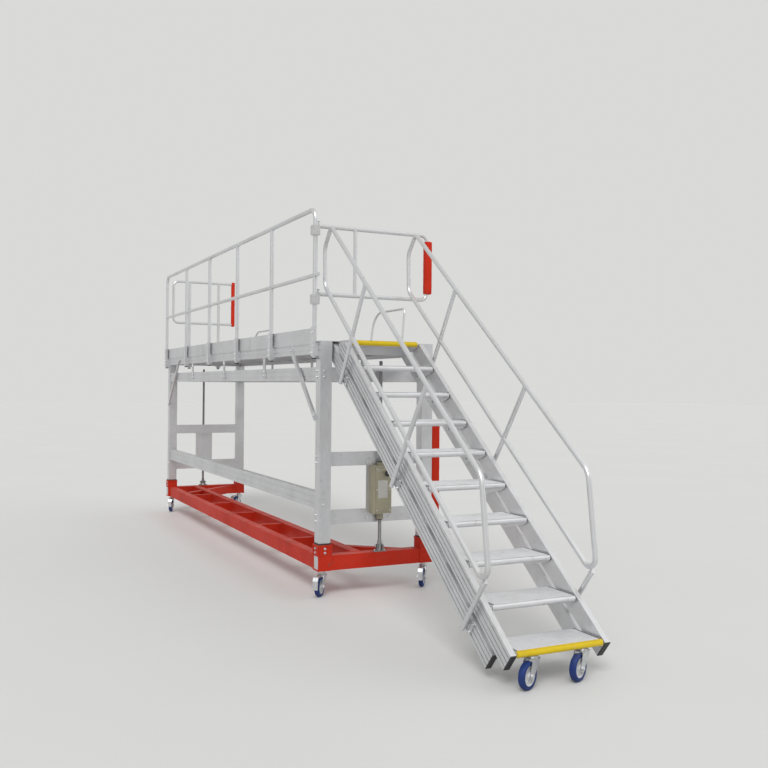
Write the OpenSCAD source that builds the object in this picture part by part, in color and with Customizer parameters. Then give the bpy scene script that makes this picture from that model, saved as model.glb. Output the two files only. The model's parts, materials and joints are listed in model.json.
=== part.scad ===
/* [Platform] */
// Height of the deck above the floor with the platform lowered
deck_h = 2080; // [2000:5:2200]
// Length over the four posts
frame_l = 5500; // [4500:50:6500]
// Width over the four posts
frame_w = 1040; // [1000:5:1300]
// Side of the square posts
post_s = 100; // [80:5:100]
// Wall of the hollow posts
post_wall = 5; // [4:1:8]
// Depth of the deck's edge beams
edge_d = 105; // [80:5:110]
// Width of the deck's edge beams
edge_w = 50; // [40:5:60]
// Thickness of the deck plate
plate_t = 4; // [3:1:6]
// Largest distance between the joists under the deck
joist_gap = 560; // [400:20:800]
// Depth of the joists
joist_d = 70; // [50:5:80]
// Width of the joists
joist_w = 40; // [30:5:50]
// Height of the toe boards above the deck
toe_h = 110; // [100:5:150]
// Thickness of the toe boards
toe_t = 5; // [3:1:8]
// Depth of the frame rails
rail_d = 114; // [90:2:120]
// Thickness of the frame rails
rail_t = 50; // [40:5:60]
// Distance from the deck down to the underside of the upper rails
upper_drop = 328; // [300:2:360]
// Underside of the cross rails at mid height
middle_z = 1050; // [1000:5:1150]
// Underside of the low side rail
low_side_z = 700; // [650:5:800]
// Depth of the low side rail
low_side_d = 140; // [100:5:160]
// Underside of the low cross rails
low_cross_z = 570; // [560:5:620]
// Reach of the knee braces along the deck and down the post
brace_reach = 575; // [400:25:700]
// Width of the knee braces
brace_w = 38; // [30:2:50]

/* [Guard rails] */
// Height of the top rail's centre above the deck
guard_h = 1085; // [1000:5:1150]
// Height of the middle rail's centre above the deck
guard_mid_h = 540; // [450:5:600]
// Diameter of the guard tubes
guard_tube = 38; // [33:1:42]
// Radius of the bends in the guard tubes
guard_bend = 90; // [70:5:120]
// Number of bays along the guarded side
guard_bays = 5; // [4:1:6]
// Distance of the first upright behind the posts' near face
guard_inset = 80; // [60:5:90]
// Distance of the last upright before the posts' far face
guard_far = 5; // [0:5:60]
// Height of the far guard loop's top tube above the deck
loop_top = 1045; // [950:5:1060]
// Height of the far guard loop's bottom tube above the deck
loop_bottom = 480; // [450:10:600]
// Diameter of the loop, gate and handrail tubes
loop_tube = 34; // [30:1:38]
// Radius of the loop's corners
loop_bend = 70; // [50:5:90]
// Height of the grab hoops above the deck
hoop_h = 350; // [250:10:360]
// Width of the grab hoops
hoop_w = 680; // [500:10:700]
// Distance of the grab hoops from the ends of the deck
hoop_inset = 532; // [300:2:700]
// Diameter of the grab hoops' tube
hoop_tube = 22; // [18:1:26]
// Width and depth of the foam pads
pad_w = 80; // [60:5:100]
// Height of the bumper pad's top above the floor
bumper_top = 1415; // [1200:5:1700]

/* [Gate] */
// Height of the gate's top tube above the deck
gate_top = 960; // [900:10:980]
// Height of the gate's bottom tube above the deck
gate_bottom = 395; // [380:5:450]
// Distance of the hinge axis behind the posts' near face
gate_y = 172; // [170:2:200]
// Distance of the gate's upright from its hinge axis
gate_post = 340; // [250:10:500]
// Radius of the gate's corners
gate_bend = 50; // [40:5:80]
// Diameter of the gate's hinge pins
gate_pin = 14; // [10:1:18]

/* [Base] */
// Underside of the base beams
base_z = 204; // [195:1:230]
// Depth of the base beams
beam_d = 122; // [100:2:130]
// Width of the base beams
beam_w = 80; // [60:5:90]
// Clear gap between the two long beams
ladder_gap = 250; // [200:10:300]
// Number of rungs between the long beams
rung_n = 5; // [3:1:7]
// Width of the rungs
rung_w = 60; // [40:5:80]
// Reach of the diagonals along an end beam
diagonal_x = 465; // [400:5:480]
// Top of the post sockets
socket_z = 416; // [400:2:430]
// Thickness of the sockets around the posts
socket_t = 8; // [5:1:10]
// Clearance between the masts and the posts
mast_gap = 5; // [5:1:8]

/* [Jacks] */
// Diameter of the jack screws
screw_d = 28; // [20:1:34]
// Place of the jacks across the frame
jack_x = 556; // [500:5:600]
// Width of the gearboxes
gear_w = 170; // [140:5:200]
// Height of the gearboxes
gear_h = 400; // [360:5:440]
// Front to back size of the gearboxes
gear_d = 90; // [80:2:100]
// Diameter of the crank sockets
crank_d = 20; // [12:1:30]
// Depth of the crank sockets
crank_l = 40; // [20:2:50]

/* [Stairs] */
// Number of hinged treads
tread_n = 9; // [7:1:11]
// Height of the first tread above the floor
first_h = 225; // [215:1:240]
// Horizontal distance from nosing to nosing
tread_run = 262; // [240:2:290]
// Place of the stairs' middle across the frame
stair_x = 468; // [466:1:500]
// Length of a tread between its end plates
tread_l = 604; // [540:2:610]
// Front to back size of a tread
tread_d = 280; // [240:5:300]
// Thickness of a tread
tread_t = 40; // [30:1:40]
// Thickness of a tread's end plates
cheek_t = 8; // [6:1:10]
// Side clearance of the end plates in the stringers
cheek_gap = 5; // [5:0.5:6]
// Overhang of the landing in front of the posts
nose_out = 226; // [200:2:240]
// Depth of the stringers
string_d = 120; // [90:2:124]
// Thickness of the stringers
string_t = 38; // [30:1:40]
// Width of the grooves in the rails' and stringers' outer faces
groove_w = 10; // [6:1:14]
// Depth of the grooves in the stringers' outer faces
groove_d = 6; // [3:1:8]
// Distance of a front pin behind its nosing
pin_back = 77; // [70:1:90]
// Depth of a front pin below the top of its tread
pin_down = 35; // [30:1:40]
// Distance of a rear pin behind the front pin
link_back = 188; // [186:1:196]
// Depth of a rear pin below the front pin
link_down = 45; // [40:1:60]
// Diameter of the hinge pins
pin_d = 20; // [16:1:24]
// Running clearance of the hinge pins on the radius
pin_play = 0.1; // [0.05:0.01:0.3]

/* [Handrails] */
// Distance of the top tube from the line of the nosings
hand_top = 600; // [540:5:640]
// Distance of the lower tube from the line of the nosings
hand_low = 150; // [120:5:180]
// How far the handrails' back tubes reach over the deck
hand_back = 120; // [60:5:125]
// Height of the back tubes' upper corner above the deck
hand_corner = 780; // [700:10:820]
// Height of the lower corner above the first tread
hand_toe = 302; // [280:2:400]
// Distance of the handrails from the stringers
hand_out = 20; // [15:1:30]

/* [Castors] */
// Diameter of the wheels
wheel_d = 160; // [140:2:160]
// Width of the tyres
tyre_w = 40; // [32:1:46]
// Radius of the tyres' shoulders
tyre_round = 10; // [6:1:12]
// Offset of a wheel's axle from its swivel axis
trail = 56; // [45:1:60]
// Diameter of the axles and the kingpins
axle_d = 16; // [12:1:20]
// Width of the brake pedals
pedal_w = 44; // [30:2:50]
// Distance of the stair castors from the stairs' middle
stair_castor_x = 178; // [150:2:180]

/* [Hidden] */
$fn = 48;

aluminium = [0.74, 0.75, 0.77];
plate_grey = [0.64, 0.65, 0.66];
frame_red = [0.72, 0.14, 0.08];
pad_red = [0.80, 0.18, 0.09];
nosing_yellow = [0.92, 0.78, 0.10];
zinc = [0.62, 0.64, 0.66];
dark_steel = [0.32, 0.32, 0.34];
gear_beige = [0.62, 0.58, 0.46];
cap_black = [0.06, 0.06, 0.07];
wheel_blue = [0.12, 0.26, 0.58];

// Small gaps: between pieces that are welded or bolted, and under a seat that lifts off
weld = 0.3;
seat = 0.3;

// The slope of the stairs follows from the two heights and the run.
rise = (deck_h - first_h) / tread_n;
slope = atan(rise / tread_run);
step_l = norm([tread_run, rise]);
along = [cos(slope), sin(slope)];
upward = [-sin(slope), cos(slope)];

// Across the stairs, from their middle: stringers, then handrails
string_in = tread_l / 2 + cheek_t + cheek_gap;
string_out = string_in + string_t;
hand_x = string_out + hand_out + loop_tube / 2;

// Pins of a level, as [y, z] from its nosing
front_pin = [pin_back, -pin_down];
rear_pin = front_pin + [link_back, -link_down];
pin_edge = 24;
pin_bite = string_t * 0.6;

// Heights and places of the frame
beam_top = base_z + beam_d;
deck_under = deck_h - plate_t;
edge_z = deck_h - edge_d;
upper_z = deck_h - upper_drop;
rail_x = 10;
cross_back = 60;
mast_in = post_wall + mast_gap;
mast_foot = base_z + 60;
guard_x = -toe_t - guard_tube / 2;
guard_step = (frame_l - guard_inset - guard_far) / guard_bays;
guard_y = [for (i = [0 : guard_bays]) guard_inset + i * guard_step];
loop_y = frame_l + toe_t + guard_tube / 2;
loop_x = [1.32 * edge_w, frame_w - 1.4 * post_s];
loop_posts = [for (f = [0.267, 0.753]) loop_x[0] + f * (loop_x[1] - loop_x[0])];
loop_bar = loop_tube + 2;
loop_pad = 0.6 * pad_w;
gate_pad_w = 0.8 * pad_w;
bumper_d = 1.1 * pad_w;
foot_wall = 3;
jack_y = 22;

// Each castor: swivel x, swivel y, heading of its trail, mounting height, brake
socket_side = post_s + 2 * socket_t;
corner = post_s / 2;
kingpin_back = 38;
stair_castor_y = -nose_out - tread_run * tread_n + kingpin_back;
C_X = 0;
C_Y = 1;
C_TURN = 2;
C_TOP = 3;
C_BRAKE = 4;
castors = [
    [corner, corner, 228, base_z, true],
    [frame_w - corner, corner, 233, base_z, true],
    [corner, frame_l - corner, 248, base_z, true],
    [frame_w - corner, frame_l - corner, 218, base_z, true],
    [stair_x - stair_castor_x, stair_castor_y, 205, first_h - tread_t, false],
    [stair_x + stair_castor_x, stair_castor_y, 205, first_h - tread_t, false]];
NEAR_LEFT = castors[0];
NEAR_RIGHT = castors[1];
FAR_LEFT = castors[2];
FAR_RIGHT = castors[3];
STAIR_LEFT = castors[4];
STAIR_RIGHT = castors[5];

// The origin is on the floor in the middle of the outline, which these four edges bound.
wheel_r = wheel_d / 2;
pedal_reach = trail + wheel_r + 30;
left_edge = corner + pedal_reach * cos(NEAR_LEFT[C_TURN]) + pedal_w / 2 * sin(NEAR_LEFT[C_TURN]);
right_edge = frame_w + bumper_d;
front_edge = stair_castor_y + (trail + wheel_r - tyre_round) * sin(STAIR_LEFT[C_TURN])
    + (tyre_w / 2 - tyre_round) * cos(STAIR_LEFT[C_TURN]) - tyre_round;
back_edge = loop_y + max(loop_pad / 2, guard_tube / 2 + foot_wall);
mid_x = (left_edge + right_edge) / 2;
mid_y = (front_edge + back_edge) / 2;

module placed() {
    translate([-mid_x, -mid_y, 0])
        children();
}

module block(low, high) {
    translate(low)
        cube(high - low);
}

module bar(p, q, d) {
    v = q - p;
    translate(p)
        rotate([0, acos(v[2] / norm(v)), atan2(v[1], v[0])])
            cylinder(h = norm(v), d = d);
}

module both_ends() {
    children();
    translate([0, frame_l, 0])
        mirror([0, 1, 0])
            children();
}

// The far jack is the near one turned half round.
module at_both_jacks() {
    children();
    translate([frame_w, frame_l, 0])
        rotate(180)
            children();
}

// Mirrors what is drawn for the right side, where side is -1
module facing(side) {
    if (side > 0)
        children();
    else
        mirror([1, 0, 0])
            children();
}

// Turns a flat path [y, z] into the upright plane at x.
module in_side_plane(x) {
    translate([x, 0, 0])
        rotate([90, 0, 90])
            children();
}

// Turns a flat path [x, z] into the upright plane at y.
module in_end_plane(y) {
    translate([0, y, 0])
        rotate([90, 0, 0])
            children();
}

function unit(v) = v / norm(v);
function side_of(u) = [-u[1], u[0]];
function turn_of(u, v) = acos(min(1, max(-1, u * v)));
function goes_left(u, v) = u[0] * v[1] - u[1] * v[0] > 0;
function setback(u, v, r) = r * tan(turn_of(u, v) / 2);

// A bend swells the tube a little, and the straights lap into it.
lap = 2;
swell = 0.3;

// A round tube along a flat path in the plane z = 0. Each point is [x, y, bend radius].
module bent_tube(path, d, closed = false) {
    n = len(path);
    function at(i) = [path[(i + n) % n][0], path[(i + n) % n][1]];
    function dir(i) = unit(at(i + 1) - at(i));
    function bent(i) = closed || (i > 0 && i < n - 1);
    function cut(i) = bent(i) ? setback(dir(i - 1), dir(i), path[(i + n) % n][2]) : 0;
    for (i = [0 : closed ? n - 1 : n - 2]) {
        a = at(i) + dir(i) * (cut(i) - (bent(i) ? lap : 0));
        b = at(i + 1) - dir(i) * (cut((i + 1) % n) - (bent((i + 1) % n) ? lap : 0));
        if ((b - a) * dir(i) > 2 * lap)
            bar([a[0], a[1], 0], [b[0], b[1], 0], d);
    }
    for (i = [0 : n - 1])
        if (bent(i)) {
            u = dir(i - 1);
            v = dir(i);
            r = path[i][2];
            left = goes_left(u, v);
            start = at(i) - u * cut(i);
            hub = start + side_of(u) * (left ? r : -r);
            from = atan2(start[1] - hub[1], start[0] - hub[0]);
            translate([hub[0], hub[1], 0])
                rotate(left ? from : from - turn_of(u, v))
                    rotate_extrude(angle = turn_of(u, v))
                        translate([r, 0])
                            circle(d = d + swell);
        }
}

// Base frame. The outer long beam lies under the left posts, the inner one a gap away.
outer_x = (post_s - beam_w) / 2;
inner_x = outer_x + beam_w + ladder_gap;
brace_inset = 10;

module base_side_beams() {
    color(frame_red)
        placed()
            for (p = [[outer_x, socket_t], [inner_x, 0]])
                block([p[0], post_s + p[1], base_z], [p[0] + beam_w, frame_l - post_s - p[1], beam_top]);
}

module base_end_beams() {
    color(frame_red)
        placed()
            for (y = [0, frame_l - post_s])
                block([post_s + socket_t, y, base_z],
                    [frame_w - post_s - socket_t, y + post_s, beam_top]);
}

// The diagonals lean as much as this across a unit of width.
diagonal_lean = 0.86;
diagonal_w = 1.2 * beam_w;
function diagonal_y(x) = post_s + diagonal_lean * (inner_x + beam_w + diagonal_x - x);

// A flat diagonal between two places across the base
module base_diagonal(x0, x1) {
    translate([0, 0, base_z + brace_inset])
        linear_extrude(beam_d - 2 * brace_inset)
            polygon([[x0, diagonal_y(x0)], [x0, diagonal_y(x0) - diagonal_w],
                [x1, max(post_s, diagonal_y(x1) - diagonal_w)], [x1, diagonal_y(x1)]]);
}

module base_rungs() {
    x = outer_x + beam_w;
    step = (frame_l - 2 * post_s) / (rung_n + 1);
    color(frame_red)
        placed() {
            for (i = [1 : rung_n])
                translate([0, post_s + i * step, base_z + brace_inset])
                    block([x, -rung_w / 2, 0], [inner_x, rung_w / 2, beam_d - 2 * brace_inset]);
            translate([0, frame_l, 0])
                mirror([0, 1, 0])
                    base_diagonal(x, inner_x);
        }
}

module base_braces() {
    x = inner_x + beam_w;
    flat = x + diagonal_x - diagonal_w / diagonal_lean;
    color(frame_red)
        placed()
            both_ends() {
                base_diagonal(x, flat);
                translate([0, 0, base_z + brace_inset])
                    linear_extrude(beam_d - 2 * brace_inset)
                        polygon([[flat, post_s], [x + diagonal_x, post_s], [flat, diagonal_y(flat)]]);
            }
}

// A socket holds a mast, and the post stands on its rim. The kingpin of a castor goes in below.
module socket() {
    low = -socket_t;
    high = post_s + socket_t;
    rim_h = 14;
    rim_out = 3;
    far = 2 * high;
    difference() {
        union() {
            block([low, low, base_z], [high, high, socket_z]);
            for (z = [base_z, socket_z - rim_h])
                block([low - rim_out, low - rim_out, z], [high + rim_out, high + rim_out, z + rim_h]);
        }
        translate([corner, corner, base_z - 1])
            cylinder(h = 41, r = axle_d / 2 + pin_play);
        block([mast_in, mast_in, mast_foot], [post_s - mast_in, post_s - mast_in, socket_z + 1]);
        // Flats against the beams
        block([high, -far, base_z - 1], [far, far, beam_top + 1]);
        block([-far, high, base_z - 1], [far, far, beam_top + 1]);
    }
}

module base_sockets() {
    color(frame_red)
        placed()
            both_ends() {
                socket();
                translate([frame_w, 0, 0])
                    mirror([1, 0, 0])
                        socket();
            }
}

module masts() {
    color(zinc)
        placed()
            for (x = [0, frame_w - post_s], y = [0, frame_l - post_s])
                translate([x, y, 0])
                    block([mast_in, mast_in, mast_foot], [post_s - mast_in, post_s - mast_in, upper_z]);
}

// The screw stands in a forked foot on the end beam, held by a cross pin.
module jack_screw() {
    foot = 110;
    foot_t = 10;
    eye_d = 36;
    eye_h = 74;
    lug_x = 24;
    lug_t = 10;
    pin_over = 16;
    block([jack_x - foot / 2, 0, beam_top], [jack_x + foot / 2, 2 * jack_y, beam_top + foot_t]);
    for (side = [-1, 1])
        translate([jack_x + side * lug_x, jack_y, beam_top + foot_t]) {
            block([-lug_t / 2, -eye_d / 2, -1], [lug_t / 2, eye_d / 2, eye_d]);
            translate([-lug_t / 2, 0, eye_d])
                rotate([0, 90, 0])
                    cylinder(h = lug_t, d = eye_d);
        }
    translate([jack_x - lug_x - pin_over, jack_y, beam_top + foot_t + eye_d])
        rotate([0, 90, 0])
            cylinder(h = 2 * (lug_x + pin_over), d = screw_d / 2);
    translate([jack_x, jack_y, beam_top + 2 * foot_t]) {
        cylinder(h = eye_h, d = eye_d);
        cylinder(h = edge_z - 70 - beam_top, d = screw_d);
    }
}

module jack_screws() {
    color(dark_steel)
        placed()
            at_both_jacks()
                jack_screw();
}

// Lifting frame
module posts() {
    color(aluminium)
        placed()
            for (x = [0, frame_w - post_s], y = [0, frame_l - post_s])
                translate([x, y, 0])
                    difference() {
                        block([0, 0, socket_z + seat], [post_s, post_s, edge_z]);
                        block([post_wall, post_wall, socket_z - 1],
                            [post_s - post_wall, post_s - post_wall, edge_z - 20]);
                    }
}

// An upright section with two shallow grooves in its outer face, which lies towards -x
module grooved_section(t, d) {
    difference() {
        square([t, d]);
        for (v = [d * 0.3, d * 0.7])
            translate([-1, v - groove_w / 2])
                square([groove_d / 2 + 1, groove_w]);
    }
}

module long_rail(z, d) {
    translate([rail_x, frame_l - post_s, z])
        rotate([90, 0, 0])
            linear_extrude(frame_l - 2 * post_s)
                grooved_section(rail_t, d);
}

module side_rails() {
    color(aluminium)
        placed() {
            long_rail(upper_z, rail_d);
            long_rail(low_side_z, low_side_d);
            translate([frame_w, 0, 0])
                mirror([1, 0, 0])
                    long_rail(upper_z, rail_d);
        }
}

module cross_rails() {
    color(aluminium)
        placed()
            both_ends()
                for (z = [low_cross_z, middle_z, upper_z])
                    block([post_s, cross_back, z], [frame_w - post_s, post_s, z + rail_d]);
}

// The deck's edge beam, with its outer face at x = 0
module edge_beam() {
    translate([0, frame_l, edge_z])
        rotate([90, 0, 0])
            linear_extrude(frame_l)
                grooved_section(edge_w, edge_d);
}

module deck_edges() {
    out = 12;
    color(aluminium)
        placed() {
            edge_beam();
            translate([frame_w, 0, 0])
                mirror([1, 0, 0])
                    edge_beam();
            block([edge_w + weld, frame_l - edge_w, edge_z], [frame_w - edge_w - weld, frame_l, deck_h]);
            // The front edge leaves room for the stringers.
            block([edge_w + weld, 0, edge_z], [stair_x - string_out - out, edge_w, deck_under]);
            block([stair_x + string_out + out, 0, edge_z], [frame_w - edge_w - weld, edge_w, deck_under]);
            block([stair_x - tread_l / 2, 0, edge_z], [stair_x + tread_l / 2, edge_w, deck_under]);
        }
}

module deck_joists() {
    first = 1.2 * post_s;
    last = frame_l - edge_w - joist_w;
    n = ceil((last - first) / joist_gap);
    step = (last - first) / n;
    z = deck_under - joist_d;
    color(aluminium)
        placed() {
            for (i = [0 : n - 1])
                block([edge_w, first + i * step, z], [frame_w - edge_w, first + i * step + joist_w, deck_under]);
            for (side = [-1, 1])
                translate([stair_x + side * (tread_l - joist_w) / 2, 0, 0])
                    block([-joist_w / 2, edge_w, z], [joist_w / 2, first - weld, deck_under]);
        }
}

module deck_plate() {
    color(plate_grey)
        placed()
            block([edge_w, 0, deck_under], [frame_w - edge_w, frame_l - edge_w, deck_h]);
}

// Levels of the stairs. A level is drawn around the point under its nosing.
plank_l = tread_l - 2 * weld;
nose_r = tread_t / 2;
nosing_back = 24;

// Section of a tread with a round front
module round_nosed() {
    translate([nose_r, nose_r])
        circle(r = nose_r);
    translate([nose_r, 0])
        square([tread_d - nose_r, tread_t]);
}

module across_stairs(l) {
    translate([-l / 2, 0, -tread_t])
        rotate([90, 0, 90])
            linear_extrude(l)
                children();
}

module cheek_outline() {
    front = 14;
    top = -6;
    low = rear_pin - [pin_edge, pin_edge];
    polygon([[front, top], [tread_d - front, top], [rear_pin[0] + pin_edge, rear_pin[1] + pin_edge],
        [rear_pin[0] + pin_edge, low[1]], low, front_pin - [pin_edge, pin_edge], [front, -tread_t]]);
}

// End plates with the hinge pins
module cheeks() {
    for (side = [-1, 1])
        translate([side * (tread_l / 2 + cheek_t / 2), 0, 0]) {
            rotate([90, 0, 90])
                linear_extrude(cheek_t, center = true)
                    cheek_outline();
            for (p = [front_pin, rear_pin])
                translate([side * (cheek_t / 2 - 1), p[0], p[1]])
                    rotate([0, side * 90, 0])
                        cylinder(h = cheek_gap + pin_bite + 1, d = pin_d);
        }
}

module landing() {
    color(aluminium)
        placed()
            translate([stair_x, -nose_out, deck_h]) {
                block([-plank_l / 2, nosing_back, -tread_t], [plank_l / 2, nose_out, 0]);
                cheeks();
            }
}

// A yellow nosing in front of a plank
module nosing(level) {
    color(nosing_yellow)
        placed()
            translate([stair_x, level[0], level[1]])
                across_stairs(plank_l)
                    intersection() {
                        round_nosed();
                        square([nosing_back, tread_t]);
                    }
}

module landing_nosing() {
    nosing([-nose_out, deck_h]);
}

module toe_boards() {
    lip = 20;
    start = guard_inset + guard_tube / 2;
    color(aluminium)
        placed() {
            block([-toe_t, start, deck_h - lip], [0, frame_l, deck_h + toe_h]);
            block([0, frame_l, deck_h - lip], [frame_w, frame_l + toe_t, deck_h + toe_h]);
        }
}

// Guard rails. An upright's top reaches this far below the centre of the tube on it.
under_tube = 0.4;
foot_low = 20;
foot_h = 240;

// A post foot around the tube at the origin. The deck lies towards +x.
module upright_foot(reach) {
    half = 30;
    out = guard_tube / 2 + foot_wall;
    block([-out, -half, edge_z - foot_low], [reach, half, deck_h - foot_low - weld]);
    block([-out, -half, deck_h - foot_low], [0, half, edge_z - foot_low + foot_h]);
}

module guard_uprights() {
    z0 = edge_z - 2 * foot_low;
    top = deck_h + guard_h;
    last = guard_y[guard_bays];
    over = guard_bend + 10;
    color(aluminium)
        placed() {
            in_side_plane(guard_x) {
                bent_tube([[guard_y[0], z0, 0], [guard_y[0], top, guard_bend], [guard_y[0] + over, top, 0]],
                    guard_tube);
                bent_tube([[last, z0, 0], [last, top, guard_bend], [last - over, top, 0]], guard_tube);
            }
            for (i = [1 : guard_bays - 1])
                translate([guard_x, guard_y[i], z0])
                    cylinder(h = top - z0 - under_tube * guard_tube, d = guard_tube);
            for (x = loop_posts)
                translate([x, loop_y, z0])
                    cylinder(h = deck_h + loop_top - z0 - under_tube * loop_tube, d = guard_tube);
            for (i = [0 : guard_bays])
                translate([guard_x, guard_y[i], 0])
                    upright_foot(-guard_x);
            for (x = loop_posts)
                translate([x, loop_y, 0])
                    rotate(-90)
                        upright_foot(loop_y - frame_l);
        }
}

module guard_rails() {
    over = guard_bend + 10 + weld;
    past = 70;
    top = deck_h + guard_h;
    a = guard_y[0];
    b = guard_y[guard_bays];
    color(aluminium)
        placed()
            difference() {
                union() {
                    bar([guard_x, a + over, top], [guard_x, b - over, top], guard_tube);
                    bar([guard_x, a - past, deck_h + guard_mid_h], [guard_x, b, deck_h + guard_mid_h],
                        guard_tube - 4);
                }
                for (i = [0 : guard_bays])
                    translate([guard_x, guard_y[i], edge_z])
                        cylinder(h = top - edge_z - under_tube * guard_tube, d = guard_tube + 2 * weld);
            }
}

module far_guard_loop() {
    low = deck_h + loop_bottom;
    high = deck_h + loop_top;
    color(aluminium)
        placed()
            difference() {
                union() {
                    in_end_plane(loop_y)
                        bent_tube([[loop_x[1], low, 0], [loop_x[0], low, loop_bend],
                            [loop_x[0], high, loop_bend], [loop_x[1], high, 0]], loop_tube);
                    translate([loop_x[1], loop_y, low - loop_tube / 2])
                        cylinder(h = high - low + loop_tube, d = loop_bar);
                }
                for (x = loop_posts)
                    translate([x, loop_y, edge_z])
                        cylinder(h = high - edge_z - under_tube * loop_tube, d = guard_tube + 2 * weld);
            }
}

// A foam sleeve on an upright tube of diameter d at the origin. It reaches back towards -x.
module sleeve(w, back, d, low, high) {
    difference() {
        block([-back, -w / 2, low], [w - back, w / 2, high]);
        translate([0, 0, low - 1])
            cylinder(h = high - low + 2, d = d + 2 * weld);
    }
}

// The far loop's sleeve also covers the ends of the two level tubes.
module loop_sleeve() {
    cover = 28;
    half = loop_tube / 2 + weld;
    low = deck_h + loop_bottom;
    high = deck_h + loop_top;
    translate([loop_x[1], loop_y, 0])
        difference() {
            sleeve(loop_pad, loop_pad / 2, loop_bar, low - cover, high + cover);
            for (z = [low, high])
                block([-loop_pad, -half, z - half], [0, half, z + half]);
        }
}

module bumper_pads() {
    inset = 10;
    color(pad_red)
        placed() {
            block([frame_w, inset, low_cross_z + 20], [right_edge, post_s - inset, bumper_top]);
            loop_sleeve();
        }
}

// Each hoop leans out, and has a tight corner at its near end and a wide one at the other.
module deck_hoops() {
    near_bend = 50;
    far_bend = 170;
    tilt = 5.7;
    lean = 20;
    base_t = 6;
    x = frame_w - edge_w / 2;
    color(aluminium)
        placed()
            for (y = [hoop_inset, frame_l - hoop_inset - hoop_w])
                translate([0, y, deck_h]) {
                    translate([x, 0, 0])
                        rotate([0, tilt, 0])
                            in_side_plane(0)
                                bent_tube([[0, base_t / 2, 0], [lean, hoop_h, near_bend],
                                    [hoop_w - lean, hoop_h, far_bend], [hoop_w, base_t / 2, 0]], hoop_tube);
                    for (v = [0, hoop_w])
                        block([x - 0.4 * edge_w, v - 30, 0], [x + 0.4 * edge_w, v + 30, base_t]);
                }
}

// Gearboxes of the jacks, bolted to plates on the cross rails
gear_plate_t = 8;

module gearbox() {
    w = gear_w / 2;
    chamfer = 12;
    neck_h = 50;
    boss_h = 14;
    back = cross_back - gear_plate_t;
    front = back - gear_d;
    low = middle_z - gear_h;
    crank = [jack_x + 0.21 * gear_w, middle_z - 0.16 * gear_h];
    difference() {
        union() {
            translate([jack_x, 0, low])
                linear_extrude(gear_h)
                    polygon([[-w, back], [-w, front + chamfer], [-w + chamfer, front], [w - chamfer, front],
                        [w, front + chamfer], [w, back]]);
            translate([jack_x, jack_y, middle_z])
                cylinder(h = neck_h / 2, d = 2.1 * screw_d);
            translate([jack_x, jack_y, low - neck_h])
                cylinder(h = neck_h + 1, d = 2.1 * screw_d);
            translate([crank[0], front + 1, crank[1]])
                rotate([90, 0, 0])
                    cylinder(h = boss_h + 1, d = 2.3 * crank_d);
        }
        translate([jack_x, jack_y, low - neck_h - 1])
            cylinder(h = gear_h + 2 * neck_h, r = screw_d / 2 + pin_play);
        translate([crank[0], front - boss_h + crank_l, crank[1]])
            rotate([90, 0, 0])
                cylinder(h = crank_l + 1, d = crank_d);
    }
}

module gearboxes() {
    color(gear_beige)
        placed()
            at_both_jacks()
                gearbox();
}

module gearbox_plates() {
    w = gear_w / 2 + 28;
    color(aluminium)
        placed()
            at_both_jacks()
                block([jack_x - w, cross_back - gear_plate_t, low_cross_z + 20],
                    [jack_x + w, cross_back, middle_z + rail_d / 2]);
}

module knee_brace() {
    t = 20;
    half = brace_w / sqrt(2);
    foot = 0.9 * post_s;
    top = edge_z + edge_d / 2;
    in_side_plane(-t)
        linear_extrude(t)
            polygon([[foot, top - brace_reach - half], [foot, top - brace_reach + half],
                [foot + brace_reach - half, top], [foot + brace_reach + half, top]]);
}

module knee_braces() {
    color(aluminium)
        placed()
            both_ends()
                knee_brace();
}

module hangers() {
    hanger_n = 3;
    half = 30;
    shift = 65;
    step = frame_l / (hanger_n + 1);
    color(aluminium)
        placed()
            for (i = [1 : hanger_n], x = [0, frame_w - rail_x])
                translate([x, i * step + shift, 0])
                    block([0, -half, upper_z + rail_d / 4], [rail_x, half, edge_z]);
}

// Gate across the head of the stairs
gate_x = 36;
gate_l = frame_w + 0.3 * pad_w - gate_x;
barrel_h = 68;
arm_t = 12;

// A clamp on the end upright. Its arm carries the hinge pin of the gate's tube at this height.
module gate_clamp(z) {
    half = guard_tube / 2 + 12;
    clamp_h = 80;
    slot = 2;
    arm_w = 30;
    arm_in = 1;
    arm = [gate_x - guard_x, gate_y - guard_inset];
    low = z - barrel_h / 2 - arm_t;
    below = clamp_h * 0.6;
    difference() {
        union() {
            translate([guard_x, guard_inset, low - below])
                block([-half, -half, 0], [half, half, clamp_h]);
            translate([guard_x, guard_inset, low])
                rotate(atan2(arm[1], arm[0]))
                    block([0, -arm_w / 2, arm_in], [norm(arm), arm_w / 2, arm_t - arm_in]);
            translate([gate_x, gate_y, low]) {
                cylinder(h = arm_t, d = loop_tube);
                cylinder(h = barrel_h * 0.8, d = gate_pin);
            }
        }
        translate([guard_x, guard_inset, low - below - 1]) {
            cylinder(h = clamp_h + 2, d = guard_tube + 2 * weld);
            block([-half - 1, -slot / 2, 0], [-half / 2, slot / 2, clamp_h + 2]);
        }
    }
}

module gate_clamps() {
    color(zinc)
        placed()
            for (z = [deck_h + gate_bottom, deck_h + gate_top])
                gate_clamp(z);
}

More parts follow.
